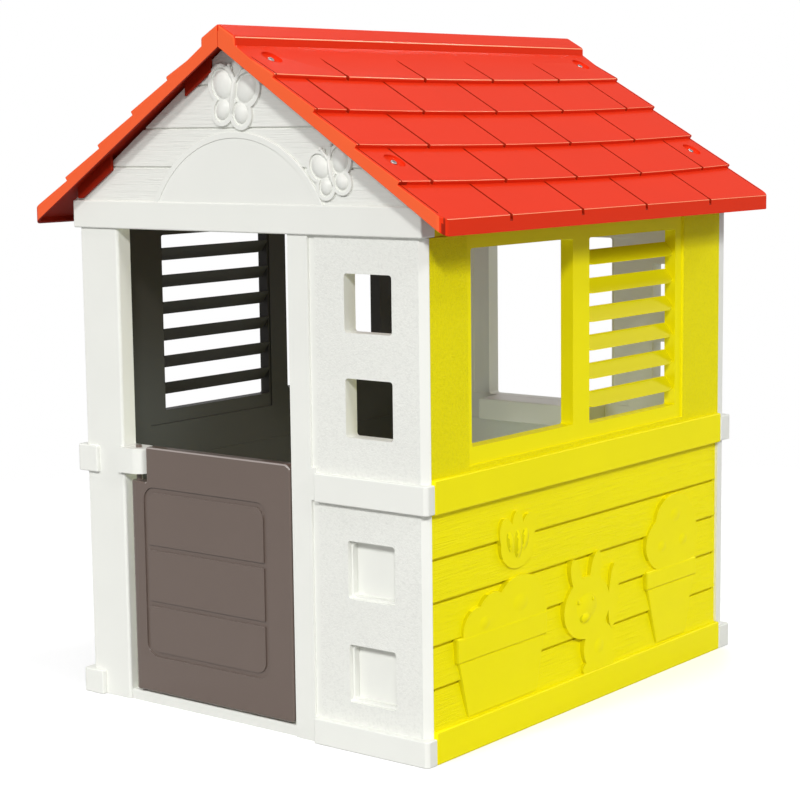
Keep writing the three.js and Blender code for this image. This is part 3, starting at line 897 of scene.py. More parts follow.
def figures():
    """Moulded figures on the boards: two potted bushes, a tulip and a cat."""
    relief = bpy.context.scene.playhouse_sizes.relief

    def lump(y, z, wide, tall, out, turn=0.0, segments=32, rings=16):
        """A puffy part, whose half depth is the relief and so many millimetres more."""
        place = on_boards(y, z)
        return puff(SIDE_FACING, place, wide, tall, relief + out * MM, turn, segments, rings)

    foot = SIDE_BASE + 3 * MM
    first = joined(
        moulded_plate(
            [(-0.366, 0.214, 0.047, 0.040, 0), (-0.322, 0.226, 0.050, 0.046, 0),
             (-0.240, 0.226, 0.078, 0.063, 0), (-0.198, 0.210, 0.042, 0.036, 0)], relief - 3 * MM),
        lump(-0.240, 0.238, 0.054, 0.036, 7),
        lump(-0.350, 0.222, 0.036, 0.026, 7),
        pot(-0.293, foot, 0.163, 0.208, 0.138, 0.106))
    second = joined(
        moulded_plate(
            [(0.284, 0.262, 0.094, 0.060, 0), (0.298, 0.302, 0.072, 0.053, 0),
             (0.350, 0.262, 0.037, 0.050, 0)], relief - 3 * MM),
        lump(0.300, 0.312, 0.044, 0.030, 7),
        lump(0.250, 0.256, 0.036, 0.026, 7),
        lump(0.330, 0.258, 0.036, 0.026, 7),
        pot(0.288, foot, 0.176, 0.213, 0.096, 0.056))
    cat = moulded_plate(
        [(-0.022, 0.186, 0.078, 0.060, 0), (-0.058, 0.250, 0.017, 0.036, 0.3),
         (0.008, 0.254, 0.017, 0.036, -0.3), (0.018, 0.104, 0.052, 0.046, 0),
         (-0.014, 0.066, 0.022, 0.014, 0), (0.050, 0.066, 0.022, 0.014, 0),
         (0.070, 0.192, 0.017, 0.062, -0.1)], relief - 2 * MM)
    joined(
        cat,
        lump(-0.024, 0.188, 0.062, 0.045, 9),
        lump(-0.030, 0.168, 0.026, 0.016, 12),
        lump(-0.052, 0.200, 0.007, 0.009, 11, 0, 16, 8),
        lump(-0.006, 0.200, 0.007, 0.009, 11, 0, 16, 8),
        lump(0.018, 0.104, 0.038, 0.034, 8))
    tulip = moulded_plate(
        [(-0.246, 0.344, 0.052, 0.042, 0), (-0.278, 0.362, 0.022, 0.036, 0.25),
         (-0.214, 0.362, 0.022, 0.036, -0.25), (-0.246, 0.372, 0.018, 0.034, 0)], relief - 4 * MM)
    joined(
        tulip,
        lump(-0.268, 0.352, 0.018, 0.034, 8, 0.3),
        lump(-0.224, 0.352, 0.018, 0.034, 8, -0.3),
        lump(-0.246, 0.346, 0.017, 0.036, 10))
    return first, second, cat, tulip


def slat(number):
    """One tilted louvre slat with tapered ends."""
    low, high = opening("right_louvre_gap_1")
    inner, outer = SLAT_X
    foot = SLAT_FIRST + number * SLAT_PITCH
    lean = Vector((outer - inner, 0, -SLAT_RISE)).normalized()
    across = Vector((SLAT_RISE, 0, outer - inner)).normalized()
    centre = Vector(((inner + outer) / 2, 0, foot + SLAT_RISE / 2))
    body = block(
        (inner - 6 * MM, low.y - MM, foot), (outer + 6 * MM, high.y + MM, foot + SLAT_RISE))
    sliced(body, centre + across * SLAT_THICK / 2, across)
    sliced(body, centre - across * SLAT_THICK / 2, -across)
    for end, y in ((-1, low.y), (1, high.y)):
        corner = Vector((outer, y - end * SLAT_CORNER, foot))
        sliced(body, corner, Vector((lean.x, end * 0.35, lean.z)))
    return softened(body, 1.4 * MM)


def side_wall_upper():
    """The upper half of the right side wall, with both windows."""
    body = block((INNER_X, UPPER_LOW.y, UPPER_LOW.z), (SIDE_X, UPPER_HIGH.y, WALL_TOP))
    front, rear = PILASTER_Y
    field = SIDE_X - FRAME_RECESS
    cut(body, block((field, front, FRAME_BOTTOM), (FAR, rear, 2)))

    def pilaster_edge(middle, way):
        """The outer upright edges of both pilasters, towards the windows."""
        inner = min(abs(middle.y - front), abs(middle.y - rear)) < MM
        return abs(way.z) > 0.9 and middle.x > SIDE_X - MM and inner

    edges_rounded(body, pilaster_edge, 3 * MM, 1)
    rail_low = (INNER_X, -INNER_Y + GAP, WALL_TOP - 5 * MM)
    joined(body, block(rail_low, (field, UPPER_HIGH.y, RAIL_TOP)))
    first_gap, last_gap = (opening(f"right_louvre_gap_{number}") for number in (1, SLATS + 1))
    for (low, high), radius in (
            (opening("right_open_window"), 5 * MM), ((first_gap[0], last_gap[1]), 4 * MM)):
        cut(body, plate((0.2, low.y, low.z), (0.6, high.y, high.z), 0, radius))
    ledge_low = (INNER_X - FAR, first_gap[0].y - 4 * MM, FRAME_BOTTOM)
    cut(body, block(ledge_low, (INNER_X + 3 * MM, LEDGE_END, 0.9)))
    softened(body, 1.6 * MM)
    belt_low, belt_top = SIDE_BELT
    belt = block(
        (INNER_X + 5 * MM, UPPER_LOW.y, belt_low), (SIDE_X + BELT_PROUD, UPPER_HIGH.y, belt_top))
    joined(body, softened(belt, 3 * MM))
    joined(body, *(slat(number) for number in range(SLATS)))
    corner_lugs(body, CORNER_SCREW_Z["upper"])
    return body


def side_walls():
    """Both side walls: the right one in lime, the left one turned round in slate."""
    made = materials()

    def grained(turn):
        """The outer faces of the boards."""
        return lambda middle, normal: (
            normal.x * turn > 0.7 and middle.z > SIDE_BASE
            and SIDE_X - FIGURE_ROOT < middle.x * turn < SIDE_X + MM)

    def stippled(turn):
        """The outer faces of the pilasters."""
        return lambda middle, normal: (
            normal.x * turn > 0.9 and middle.z > SIDE_BELT[1]
            and SIDE_X - MM < middle.x * turn < SIDE_X + MM)

    def flank(middle, normal):
        """The figures' sides towards the front and the slats' upper faces, where shade is painted as a darker
        lime.
        """
        on_figure = (
            normal.y < -0.35 and normal.z > -0.6 and SIDE_BASE + MM < middle.z < SIDE_HIGH.z
            and SIDE_X - 9 * MM < middle.x < SIDE_X + 9 * MM and abs(middle.y) < 0.45)
        upward = normal.x > 0.6 and normal.z > 0.5
        on_slat = upward and middle.x < SLAT_X[1] + MM and middle.z > SLAT_FIRST
        return on_figure or on_slat

    for builder, node, region, texture in (
            (side_wall_lower, "wall_lower", grained, "grain"),
            (side_wall_upper, "wall_upper", stippled, "stipple")):
        right = cleaned(builder(), merge=0.001 * MM)
        left = turned_copy(right)
        # The right wall's figure sides and slat tops get painted shade.
        dressed(
            right, made["lime_smooth"], (made["lime_" + texture], region(1)),
            (made["lime_flank"], flank))
        dressed(left, made["slate_smooth"], (made["slate_" + texture], region(-1)))
        finished(right, "lime_" + node, "house", "lime_panels", "right_" + node)
        finished(left, "slate_" + node, "house", "slate_panels", "left_" + node)


# ------------------------------------------------------------------ back wall

SHELF_FRONT = 410 * MM
SHELF_HALF = 143 * MM
SHELF_Z = (0.446, 0.4925)
PANEL_RECESS = {"x": (30 * MM, 190 * MM), "z": (0.09, 0.38), "depth": 5 * MM, "corner": 12 * MM}
INNER_RECESS_END = 203 * MM
FIELD_X = 0.2  # the stippled fields of the back lie further out than this


def back_slab(low, high):
    """A back wall slab with both corners cut, lapping over the side walls."""
    body = block((-SIDE_X, INNER_Y, low), (SIDE_X, END_Y, high))
    for side in (-1, 1):
        sliced(body, (side * (SIDE_X - CORNER_CHAMFER), END_Y, 0), (side, 1, 0))
    notch = (-INNER_X + GAP, -SIDE_LOW.y + GAP, high + FAR)
    cut(body, block((-FAR, INNER_Y - FAR, low - FAR), notch))
    joined(body, block((INNER_X + GAP, SIDE_HIGH.y + 2 * GAP, low), (SIDE_X, INNER_Y + MM, high)))
    return body


def back_band(proud, low, high):
    """A belt or base along the back and round both corners."""
    side = SIDE_X + BELT_PROUD
    body = block((-side, SIDE_HIGH.y + 2 * GAP, low), (side, END_Y + proud, high))
    for turn in (-1, 1):
        sliced(body, (turn * (side - BLOCK_CHAMFER), END_Y + proud, 0), (turn, 1, 0))
    reach = SIDE_X - BAND_SEAT
    cut(body, block((-reach, 0, low - FAR), (reach, END_Y - BAND_SEAT, high + FAR)))
    cut(body, block((-FAR, 0, low - FAR), (0, -SIDE_LOW.y + GAP, high + FAR)))
    return softened(body, bpy.context.scene.playhouse_sizes.block_edge)


def back_wall():
    """Both halves of the back wall."""
    sizes = bpy.context.scene.playhouse_sizes
    made = materials()
    lower = back_slab(0, BACK_HIGH.z)
    panel_low, panel_top = PANEL_RECESS["z"]
    for side in (-1, 1):
        near, far = sorted(side * x for x in PANEL_RECESS["x"])
        low = (near, END_Y - PANEL_RECESS["depth"], panel_low)
        cut(lower, plate(low, (far, FAR, panel_top), 1, PANEL_RECESS["corner"]))
    softened(lower, 1.6 * MM)
    joined(lower, back_band(BASE_PROUD, 0, END_BASE))
    upper = back_slab(BACK_TOP_LOW.z, WALL_TOP)
    squares = [
        f"back_{side}_square_window_{number}" for side in ("right", "left") for number in (1, 2)]
    for name in ["back_window"] + squares:
        low, high = opening(name)
        low.y, high.y = 0.3, 0.7
        cut(upper, plate(low, high, 1, sizes.window_corner))
    window_low, window_high = opening("back_window")
    for side in (-1, 1):
        near, far = sorted((side * (window_high.x + 3 * MM), side * INNER_RECESS_END))
        cut(upper, block((near, 0.3, window_low.z), (far, INNER_Y + 2 * MM, window_high.z)))
    softened(upper, 1.6 * MM)
    shelf_low, shelf_top = SHELF_Z
    shelf = block((-SHELF_HALF, SHELF_FRONT, shelf_low), (SHELF_HALF, INNER_Y + 3 * MM, shelf_top))
    softened(shelf, 3 * MM)
    joined(upper, shelf, back_band(BELT_PROUD, *END_BELT))

    def field(middle, normal):
        """The outer face on both sides of the middle window."""
        return normal.y > 0.9 and abs(middle.y - END_Y) < FLUSH and abs(middle.x) > FIELD_X

    for body, half in ((lower, "lower"), (upper, "upper")):
        cleaned(body)
        dressed(body, made["white_smooth"], (made["white_stipple"], field))
        finished(body, "back_" + half, "house", "white_panels", "back_wall_" + half)


# ------------------------------------------------------------------ gables

ARCH_HALF = 202.5 * MM
ARCH_TOP = 1.083
ARCH_PROUD = 4 * MM
ARCH_RISE = ARCH_TOP - BEAM_TOP
ARCH_RADIUS = (ARCH_HALF ** 2 + ARCH_RISE ** 2) / (2 * ARCH_RISE)
ARCH_MIDDLE = ARCH_TOP - ARCH_RADIUS
ARCH_RING = 11 * MM
ARCH_SUNK = 1.6 * MM
SEAMS = (1.019, 1.089, 1.165)
SEAM_HALF = 1.8 * MM
SEAM_DEPTH = 4 * MM
GABLE_SCREW_X = 375 * MM
GABLE_SCREW_Y = -493.5 * MM
GABLE_SCREW_WELL = 8 * MM


def butterfly(x, z, size, lean):
    """A plain butterfly in relief: four puffy wings inside a raised outline, and a body."""
    wings = [(-0.29, 0.20, 0.23, 0.28, 0.5), (0.29, 0.20, 0.23, 0.28, -0.5),
             (-0.22, -0.25, 0.17, 0.20, -0.4), (0.22, -0.25, 0.17, 0.20, 0.4)]
    turned = Matrix.Rotation(lean, 3, "Y")

    def spot(across, up, out):
        """A place on the butterfly, in its own size, so far out of the wall."""
        return Vector((x, -END_Y - out, z)) + turned @ Vector((across, 0, up)) * size

    def plates(border, back, front):
        """Flat wings with a border, between two depths."""
        first, *others = [
            disc(FRONT_FACING, spot(across, up, back), (wide + border) * size, (tall + border) * size,
                 front - back, turn - lean)
            for across, up, wide, tall, turn in wings]
        return joined(first, *others)

    outline = softened(plates(0.10, -2 * MM, 4.5 * MM), 1.5 * MM, 3, 24)
    cut(outline, plates(0.03, 1.5 * MM, 0.1))
    puffs = [
        puff(FRONT_FACING, spot(across, up, -2 * MM), wide * size, tall * size, 10.5 * MM, turn - lean)
        for across, up, wide, tall, turn in wings]
    body = puff(FRONT_FACING, spot(0, 0.02, 0), 0.06 * size, 0.36 * size, 10 * MM, -lean, 20, 12)
    feelers = []
    for side in (-1, 1):
        tip, root = spot(side * 0.15, 0.56, 4 * MM), spot(side * 0.02, 0.28, 3 * MM)
        curl = spot(side * 0.13, 0.46, -2 * MM)
        feelers += [
            rod(root, tip, 2.2 * MM, 12),
            puff(FRONT_FACING, tip, 3.5 * MM, 3.5 * MM, 4 * MM, 0, 16, 8),
            disc(FRONT_FACING, curl, 4 * MM, 9 * MM, 4.5 * MM, 0.3 * side)]
    return joined(outline, *puffs, body, *feelers)


def gable():
    """The front gable: beam, boards, arch and two butterflies."""
    top, foot = GABLE_HIGH.z, BEAM_TOP - 10 * MM
    boards = block((-1, -END_Y, foot), (1, -INNER_Y, top))
    for side in (-1, 1):
        sliced(boards, (0, 0, GABLE_LINE), (side * GABLE_SLOPE, 0, 1))
    combined(boards, [block((-SIDE_X, -END_Y, foot), (SIDE_X, -INNER_Y, top))], "INTERSECT")
    for height in SEAMS:
        low = (-FAR, -END_Y - FAR, height - SEAM_HALF)
        cut(boards, block(low, (FAR, -END_Y + SEAM_DEPTH, height + SEAM_HALF)))
    softened(boards, 1.2 * MM, 2)

    def round_plate(near, far, radius):
        """A disc about the arch's centre, between two depths."""
        return rod((0, near, ARCH_MIDDLE), (0, far, ARCH_MIDDLE), radius, 160)

    face = -END_Y - ARCH_PROUD
    arch = round_plate(face, -INNER_Y - 5 * MM, ARCH_RADIUS)
    sliced(arch, (0, 0, BEAM_TOP - 8 * MM), (0, 0, -1))
    softened(arch, 3 * MM, 4)
    inner = round_plate(face - FAR, face + ARCH_SUNK, ARCH_RADIUS - ARCH_RING)
    cut(arch, softened(inner, MM, 2, 60))
    beam = block((-SIDE_X, -END_Y - BEAM_PROUD, GABLE_LOW.z), (SIDE_X, -INNER_Y, BEAM_TOP))
    softened(beam, 3 * MM, 4)
    joined(
        boards, arch, beam,
        butterfly(x=0.0, z=1.142, size=0.098, lean=0.15),
        butterfly(x=0.224, z=1.012, size=0.080, lean=-0.25))
    for side in (-1, 1):
        foot, top = ((side * GABLE_SCREW_X, GABLE_SCREW_Y, height) for height in (BEAM_TOP, 1.05))
        cut(boards, rod(foot, top, GABLE_SCREW_WELL, 24))
    return cleaned(boards, 40)


def gables():
    """The front gable and the same one turned round for the back."""
    made = materials()
    front = gable()
    back = turned_copy(front)

    def board(turn):
        """The boards' outer faces, outside the arch."""
        def chosen(middle, normal):
            flush = abs(-middle.y * turn - END_Y) < 0.4 * MM
            outside = math.hypot(middle.x, middle.z - ARCH_MIDDLE) > ARCH_RADIUS - MM
            return normal.y * turn < -0.9 and flush and outside and middle.z > BEAM_TOP
        return chosen

    for piece, turn, end in ((front, 1, "front"), (back, -1, "back")):
        dressed(piece, made["white_smooth"], (made["white_grain"], board(turn)))
        finished(piece, "gable_" + end, "house", "white_panels", end + "_gable")


# ------------------------------------------------------------------ roof

SEAMS_ODD = (-360 * MM, -140 * MM, 75 * MM, 310 * MM)
SEAMS_EVEN = (-465 * MM, -260 * MM, -40 * MM, 185 * MM, 430 * MM)
SEAM_DEPTHS = (2.0 * MM, 4.5 * MM)  # at the upper and the lower end of a row
SLOT_WIDTH = 8 * MM
SLOT_REACH = 8 * MM
LAST_SLOT_REACH = 4 * MM
ROW_THICK = 14 * MM
SKIN_LINE = ROW_LINE - 9.5 * MM
DEEP = 0.1  # how far a tool reaches below and above a tile row
BORDER = 7 * MM
BORDER_GROOVE = 3 * MM
CORNER_RADIUS = 17 * MM
ROW_BEVEL = 4 * MM
BOSSES = (
    {"x": 73 * MM, "hook": (49 * MM, 114 * MM), "drop": 10 * MM},
    {"x": 343 * MM, "hook": (307 * MM, 400 * MM), "drop": 17 * MM},
)
HOOK_FRONT = 518 * MM
PAD = {"half": 23 * MM, "y": (472 * MM, 512 * MM)}
ROOF_SCREW_Y = 490 * MM
RECESS_RADIUS = 20 * MM
RECESS_DEPTH = 6 * MM


def above(piece, point, slope):
    """Keep what lies above a plane that falls outward at a slope."""
    return sliced(piece, point, (-slope, 0, -1))


def below(piece, point, slope):
    """Keep what lies below a plane that falls outward at a slope."""
    return sliced(piece, point, (slope, 0, 1))


def row_edges(number):
    """Where a tile row starts and ends across, and its surface's two heights."""
    start = CAP_WIDTH + number * ROW_PITCH
    end = start + ROW_PITCH
    step = CAP_STEP if number == 0 else ROW_STEP
    return start, end, ROW_LINE - ROOF_SLOPE * start - step, ROW_LINE - ROOF_SLOPE * end


def tile_height(across):
    """Height of the tiled surface at a distance across."""
    start, end, high, low = row_edges(int((across - CAP_WIDTH) / ROW_PITCH))
    return high + (low - high) * (across - start) / (end - start)


def tile_row(number):
    """One row of tiles, with seams, slots and a bowed lower edge."""
    sizes = bpy.context.scene.playhouse_sizes
    start, end, high, low = row_edges(number)
    slope = (high - low) / (end - start)
    last = number == ROWS - 1
    bow = 0 if last else sizes.bow * math.cos(ROOF_TILT)
    reach = end + bow + (MM if last else 10 * MM)
    bottom, top = low - DEEP, high + DEEP
    row = block((start - 12 * MM, -ROOF_END, bottom), (reach, ROOF_END, top))
    if last:
        edges_rounded(
            row, lambda middle, way: abs(way.z) > 0.99 and middle.x > reach - MM, CORNER_RADIUS, 8)
    below(row, (start, 0, high), slope)
    above(row, (0, 0, ROW_LINE - ROW_THICK), ROOF_SLOPE)
    if not last:
        radius = ROOF_END ** 2 / (2 * sizes.bow)
        down = Vector((ROOF_NORMAL.z, 0, -ROOF_NORMAL.x))
        lower = Vector((end, 0, low)) + down * sizes.bow
        centre = lower - down * radius
        edge = rod(centre - ROOF_NORMAL * 2, centre + ROOF_NORMAL * 2, radius, 720)
        combined(row, [edge], "INTERSECT")
    softened(row, ROW_BEVEL, 4, 35)
    seams = SEAMS_ODD if number % 2 == 0 else SEAMS_EVEN
    shallow, deep = SEAM_DEPTHS
    for y in seams:
        half = sizes.seam / 2
        seam = block((start - 10 * MM, y - half, bottom), (reach + FAR, y + half, top))
        above(seam, (start, 0, high - shallow), slope + (deep - shallow) / (end - start))
        cut(row, seam)
        edge = end + (0 if last else bow * (1 - (y / ROOF_END) ** 2))
        slot_low = low - ROW_THICK if last else bottom
        slot_start = edge - (LAST_SLOT_REACH if last else SLOT_REACH)
        half = SLOT_WIDTH / 2
        cut(row, block((slot_start, y - half, slot_low), (reach + FAR, y + half, top)))
    if not last:
        softened(row, 0.9 * MM, 2, 50)
    for side in (-1, 1):
        y = side * (ROOF_END - BORDER)
        half = BORDER_GROOVE / 2
        stop = reach - CORNER_RADIUS if last else reach + FAR
        groove = block((start - 10 * MM, y - half, bottom), (stop, y + half, top))
        above(groove, (start, 0, high - BORDER_GROOVE), slope)
        cut(row, groove)
    return row


def in_seam(middle, turn):
    """Whether a face's middle lies inside a seam or slot of the roof half that is turned this way, where shade is
    painted.
    """
    sizes = bpy.context.scene.playhouse_sizes
    x, y = middle.x * turn, middle.y * turn
    for number in range(ROWS):
        start, end, high, low = row_edges(number)
        surface = high + (low - high) * (x - start) / (end - start)
        on_row = start - 2 * MM < x < end + sizes.bow
        if not on_row or not surface - 12 * MM < middle.z < surface - 0.3 * MM:
            continue
        half = SLOT_WIDTH / 2 if x > end - SLOT_REACH else sizes.seam / 2
        seams = SEAMS_ODD if number % 2 == 0 else SEAMS_EVEN
        if min(abs(y - seam) for seam in seams) < half + FLUSH:
            return True
        if abs(abs(y) - ROOF_END + BORDER) < BORDER_GROOVE / 2 + FLUSH:
            return True
    return False


def roof_core():
    """The roof half under the tiles: skin, barge skirts, eave and ridge lips."""
    eave = ROOF_HIGH.x
    core = block((ROOF_LOW.x, -ROOF_END, 0.85), (eave, ROOF_END, 1.3))
    edges_rounded(
        core, lambda middle, way: abs(way.z) > 0.99 and middle.x > eave - MM, CORNER_RADIUS, 8)
    below(core, (0, 0, SKIN_LINE), ROOF_SLOPE)
    above(core, (0, 0, UNDERSIDE_RIDGE), UNDERSIDE_SLOPE)
    cavity = block((LIP, LIP - ROOF_END, 0.8), (eave - LIP, ROOF_END - LIP, 1.3))
    edges_rounded(
        cavity, lambda middle, way: abs(way.z) > 0.99 and middle.x > eave - LIP - MM,
        CORNER_RADIUS - LIP, 8)
    below(cavity, (0, 0, CAVITY_LINE), ROOF_SLOPE)
    cut(core, cavity)
    return softened(core, 1.2 * MM, 2, 35)


def ridge_cap():
    """The smooth strip along the ridge."""
    cap = block((ROOF_LOW.x, -ROOF_END, 1.2), (CAP_WIDTH, ROOF_END, 1.3))
    fall = ROOF_HIGH.z - ROW_LINE + ROOF_SLOPE * CAP_WIDTH - 6 * MM
    below(cap, (0, 0, ROOF_HIGH.z), fall / CAP_WIDTH)
    above(cap, (0, 0, ROW_LINE - ROW_THICK), ROOF_SLOPE)
    return softened(cap, ROW_BEVEL, 4, 35)


def hook(boss, end):
    """A bracket under the roof that hangs over the gable's face."""
    low_x, high_x = boss["hook"]
    near, far = sorted((end * (END_Y + GAP), end * HOOK_FRONT))
    body = block((low_x, near, BEAM_TOP + 3 * MM), (high_x, far, 1.3))
    below(body, (0, 0, CAVITY_LINE + 2 * MM), ROOF_SLOPE)
    above(body, (0, 0, UNDERSIDE_RIDGE - boss["drop"]), UNDERSIDE_SLOPE)
    softened(body, 2 * MM, 3)
    near, far = sorted(end * y for y in PAD["y"])
    pad = block((boss["x"] - PAD["half"], near, 0.95), (boss["x"] + PAD["half"], far, 1.3))
    below(pad, (0, 0, CAVITY_LINE + 2 * MM), ROOF_SLOPE)
    above(pad, (0, 0, GABLE_LINE + 2 * GAP), GABLE_SLOPE)
    return joined(body, pad)


def roof_half():
    """The right roof half."""
    core = roof_core()
    for number in range(ROWS):
        joined(core, tile_row(number))
    joined(core, ridge_cap())
    for end in (-1, 1):
        for boss in BOSSES:
            joined(core, hook(boss, end))
            seat = Vector((boss["x"], end * ROOF_SCREW_Y, tile_height(boss["x"])))
            floor_point = seat - ROOF_NORMAL * RECESS_DEPTH
            recess = rod(floor_point, seat + ROOF_NORMAL * 30 * MM, RECESS_RADIUS, 48)
            cut(core, softened(recess, 1.5 * MM, 3, 60))
            cut(core, rod(seat - ROOF_NORMAL * 60 * MM, seat, SCREW_HOLE, 16))
    return cleaned(core, 30)


def roof():
    """Both roof halves, the left one a half-turned copy."""
    made = materials()
    right = roof_half()
    left = turned_copy(right)

    def ends(middle, normal):
        """The barge faces at both ends, painted a lighter, oranger red as if sunlit."""
        return abs(normal.y) > 0.8 and abs(middle.y) > ROOF_END - 2 * MM

    def seams(turn):
        """The faces inside the seams, which get painted shade."""
        return lambda middle, normal: in_seam(middle, turn)

    def edges(turn):
        """The rounded lower edges of the tiles and the eave, which get a painted highlight."""
        def chosen(middle, normal):
            across, out = middle.x * turn, normal.x * turn
            lean = out * ROOF_NORMAL.x + normal.z * ROOF_NORMAL.z
            outside = middle.z > CAVITY_LINE - ROOF_SLOPE * across
            return 0.72 < lean < 0.92 and out > ROOF_NORMAL.x and abs(normal.y) < 0.3 and outside
        return chosen

    def under(middle, normal):
        """The underside within the skirts, which gets painted shade."""
        inside = abs(middle.y) < ROOF_END - LIP / 2 and abs(middle.x) < ROOF_HIGH.x - LIP / 2
        return inside and middle.z < CAVITY_LINE - ROOF_SLOPE * abs(middle.x) + MM

    for piece, node, turn in ((right, "roof_right", 1), (left, "roof_left", -1)):
        dressed(
            piece, made["red_tile"], (made["red_end"], ends), (made["red_edge"], edges(turn)),
            (made["red_seam"], seams(turn)), (made["red_under"], under))
        finished(piece, "tiled_" + node, "house", "red_roof", node)


# ------------------------------------------------------------------ screws

HEAD_RADIUS = 6 * MM
HEAD_HEIGHT = 3.5 * MM
SHANK_RADIUS = 2.5 * MM
POINT = 5 * MM
RECESS_ARM = (3.4 * MM, 0.7 * MM)  # half the length and half the width of the cross
RECESS_FLOOR = HEAD_HEIGHT - 1.8 * MM


def screw_at_origin(length):
    """A pan-head screw with a cross recess, its head's underside at the origin."""
    head = rod((0, 0, 0), (0, 0, HEAD_HEIGHT), HEAD_RADIUS, 32)
    edges_rounded(head, lambda middle, way: middle.z > HEAD_HEIGHT - 0.1 * MM, 1.8 * MM, 4)
    shank = rod((0, 0, -length + POINT), (0, 0, MM), SHANK_RADIUS, 20)
    deselect()
    bpy.ops.mesh.primitive_cone_add(
        vertices=20, radius1=0, radius2=SHANK_RADIUS, depth=POINT,
        location=(0, 0, -length + POINT / 2))
    joined(head, shank, placed())
    reach, half = RECESS_ARM
    for x, y in ((reach, half), (half, reach)):
        cut(head, block((-x, -y, RECESS_FLOOR), (x, y, 0.1)))
    return cleaned(head)


def screws():
    """All the screws, each kind modelled once and copied to its seats."""
    made = materials()
    leaning = ROOF_NORMAL.x
    ways = {
        "roof_screw": lambda middle: Vector((math.copysign(leaning, middle.x), 0, ROOF_NORMAL.z)),
        "corner_screw": lambda middle: Vector((0, -math.copysign(1, middle.y), 0)),
        "gable_screw": lambda middle: Vector((0, 0, 1)),
    }
    for kind, way in ways.items():
        nodes = sorted(name for name in frame["nodes"] if name.startswith(kind))
        model = None
        for node in nodes:
            points = [vertex.co for vertex in frame["nodes"][node].data.vertices]
            low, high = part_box(node)
            out = way((low + high) / 2)
            tip = min(points, key=lambda point: point.dot(out))
            length = max(point.dot(out) for point in points) - tip.dot(out) - HEAD_HEIGHT
            if model is None:
                model = screw_at_origin(length)
            twin = copy_of(model)
            turn = Vector((0, 0, 1)).rotation_difference(out).to_matrix().to_4x4()
            twin.data.transform(Matrix.Translation(tip + out * length) @ turn)
            dressed(twin, made["steel"])
            finished(twin, "zinc_" + node, "house", "screws", node)
        bpy.data.objects.remove(model, do_unlink=True)


# ------------------------------------------------------------------ stage


LAMP_SPREADS = {"key": 7, "front": 8, "side": 9, "back": 7, "rim": 16}  # in degrees
SENSOR_WIDTH = 36
INSIDE_PLACE = (0.05, -0.05, 0.45)
INSIDE_COLOUR = (0.90, 1.0, 0.96)
INSIDE_RADIUS = 0.15
WHITE = (1, 1, 1, 1)
FLOOR_RADIUS = 2.7
FLOOR_FADE = (0.9, 2.6)
FLOOR_GLOW = 0.22
GROUND_LIGHT = 0.22


def way_to(azimuth, elevation):
    """The unit vector to a way round, counted right of the front, and a height."""
    level = math.cos(elevation)
    return Vector((math.sin(azimuth) * level, -math.cos(azimuth) * level, math.sin(elevation)))


def camera(stage):
    """The camera at its place and turn."""
    roll = stage.roll
    back = way_to(stage.azimuth, stage.elevation)
    right = Vector((0, 0, 1)).cross(back).normalized()
    up = back.cross(right)
    turned_right = right * math.cos(roll) + up * math.sin(roll)
    turned_up = up * math.cos(roll) - right * math.sin(roll)
    deselect()
    bpy.ops.object.camera_add()
    eye = bpy.context.object
    eye.name = "camera"
    turn = Matrix((turned_right, turned_up, back)).transposed().to_4x4()
    eye.matrix_world = Matrix.Translation(stage.camera) @ turn
    eye.data.lens = stage.lens
    eye.data.sensor_width = SENSOR_WIDTH
    bpy.context.scene.camera = eye


def sun(stage, name, spread):
    """One of the far lamps, with the way round, height and strength that the stage gives."""
    way = way_to(getattr(stage, name + "_azimuth"), getattr(stage, name + "_elevation"))
    deselect()
    turn = way.to_track_quat("Z", "Y").to_euler()
    bpy.ops.object.light_add(type="SUN", location=way * 5, rotation=turn)
    lamp = bpy.context.object
    lamp.name = name + "_light"
    lamp.data.energy = getattr(stage, name + "_strength")
    lamp.data.angle = math.radians(spread)


def lights(stage):
    """Soft lights round the house, one inside it, and soft light overhead in a white room."""
    for name, spread in LAMP_SPREADS.items():
        sun(stage, name, spread)
    deselect()
    bpy.ops.object.light_add(type="POINT", location=INSIDE_PLACE)
    lamp = bpy.context.object
    lamp.name = "inside_light"
    lamp.data.color = INSIDE_COLOUR
    lamp.data.energy = stage.inside_strength
    lamp.data.shadow_soft_size = INSIDE_RADIUS
    lamp.visible_camera = False
    world = bpy.data.worlds.new("studio")
    bpy.context.scene.world = world
    room = Finish(world)
    way = room.node("ShaderNodeTexCoord")
    height = room.node("ShaderNodeSeparateXYZ", {}, {"Vector": way}, output=2)
    overhead = room.ramp(height, low=0.30, high=0.95)
    ground = room.ramp(height, low=-0.02, high=-0.10)
    power = overhead * stage.top_strength + ground * GROUND_LIGHT + stage.sky_strength
    fill = room.node("ShaderNodeBackground", {}, {"Color": WHITE, "Strength": power})
    seen = room.node("ShaderNodeBackground", {}, {"Color": WHITE, "Strength": 1.0})
    to_camera = room.node("ShaderNodeLightPath")
    both = room.node("ShaderNodeMixShader", {}, {0: to_camera, 1: fill, 2: seen})
    room.node("ShaderNodeOutputWorld", {}, {"Surface": both})


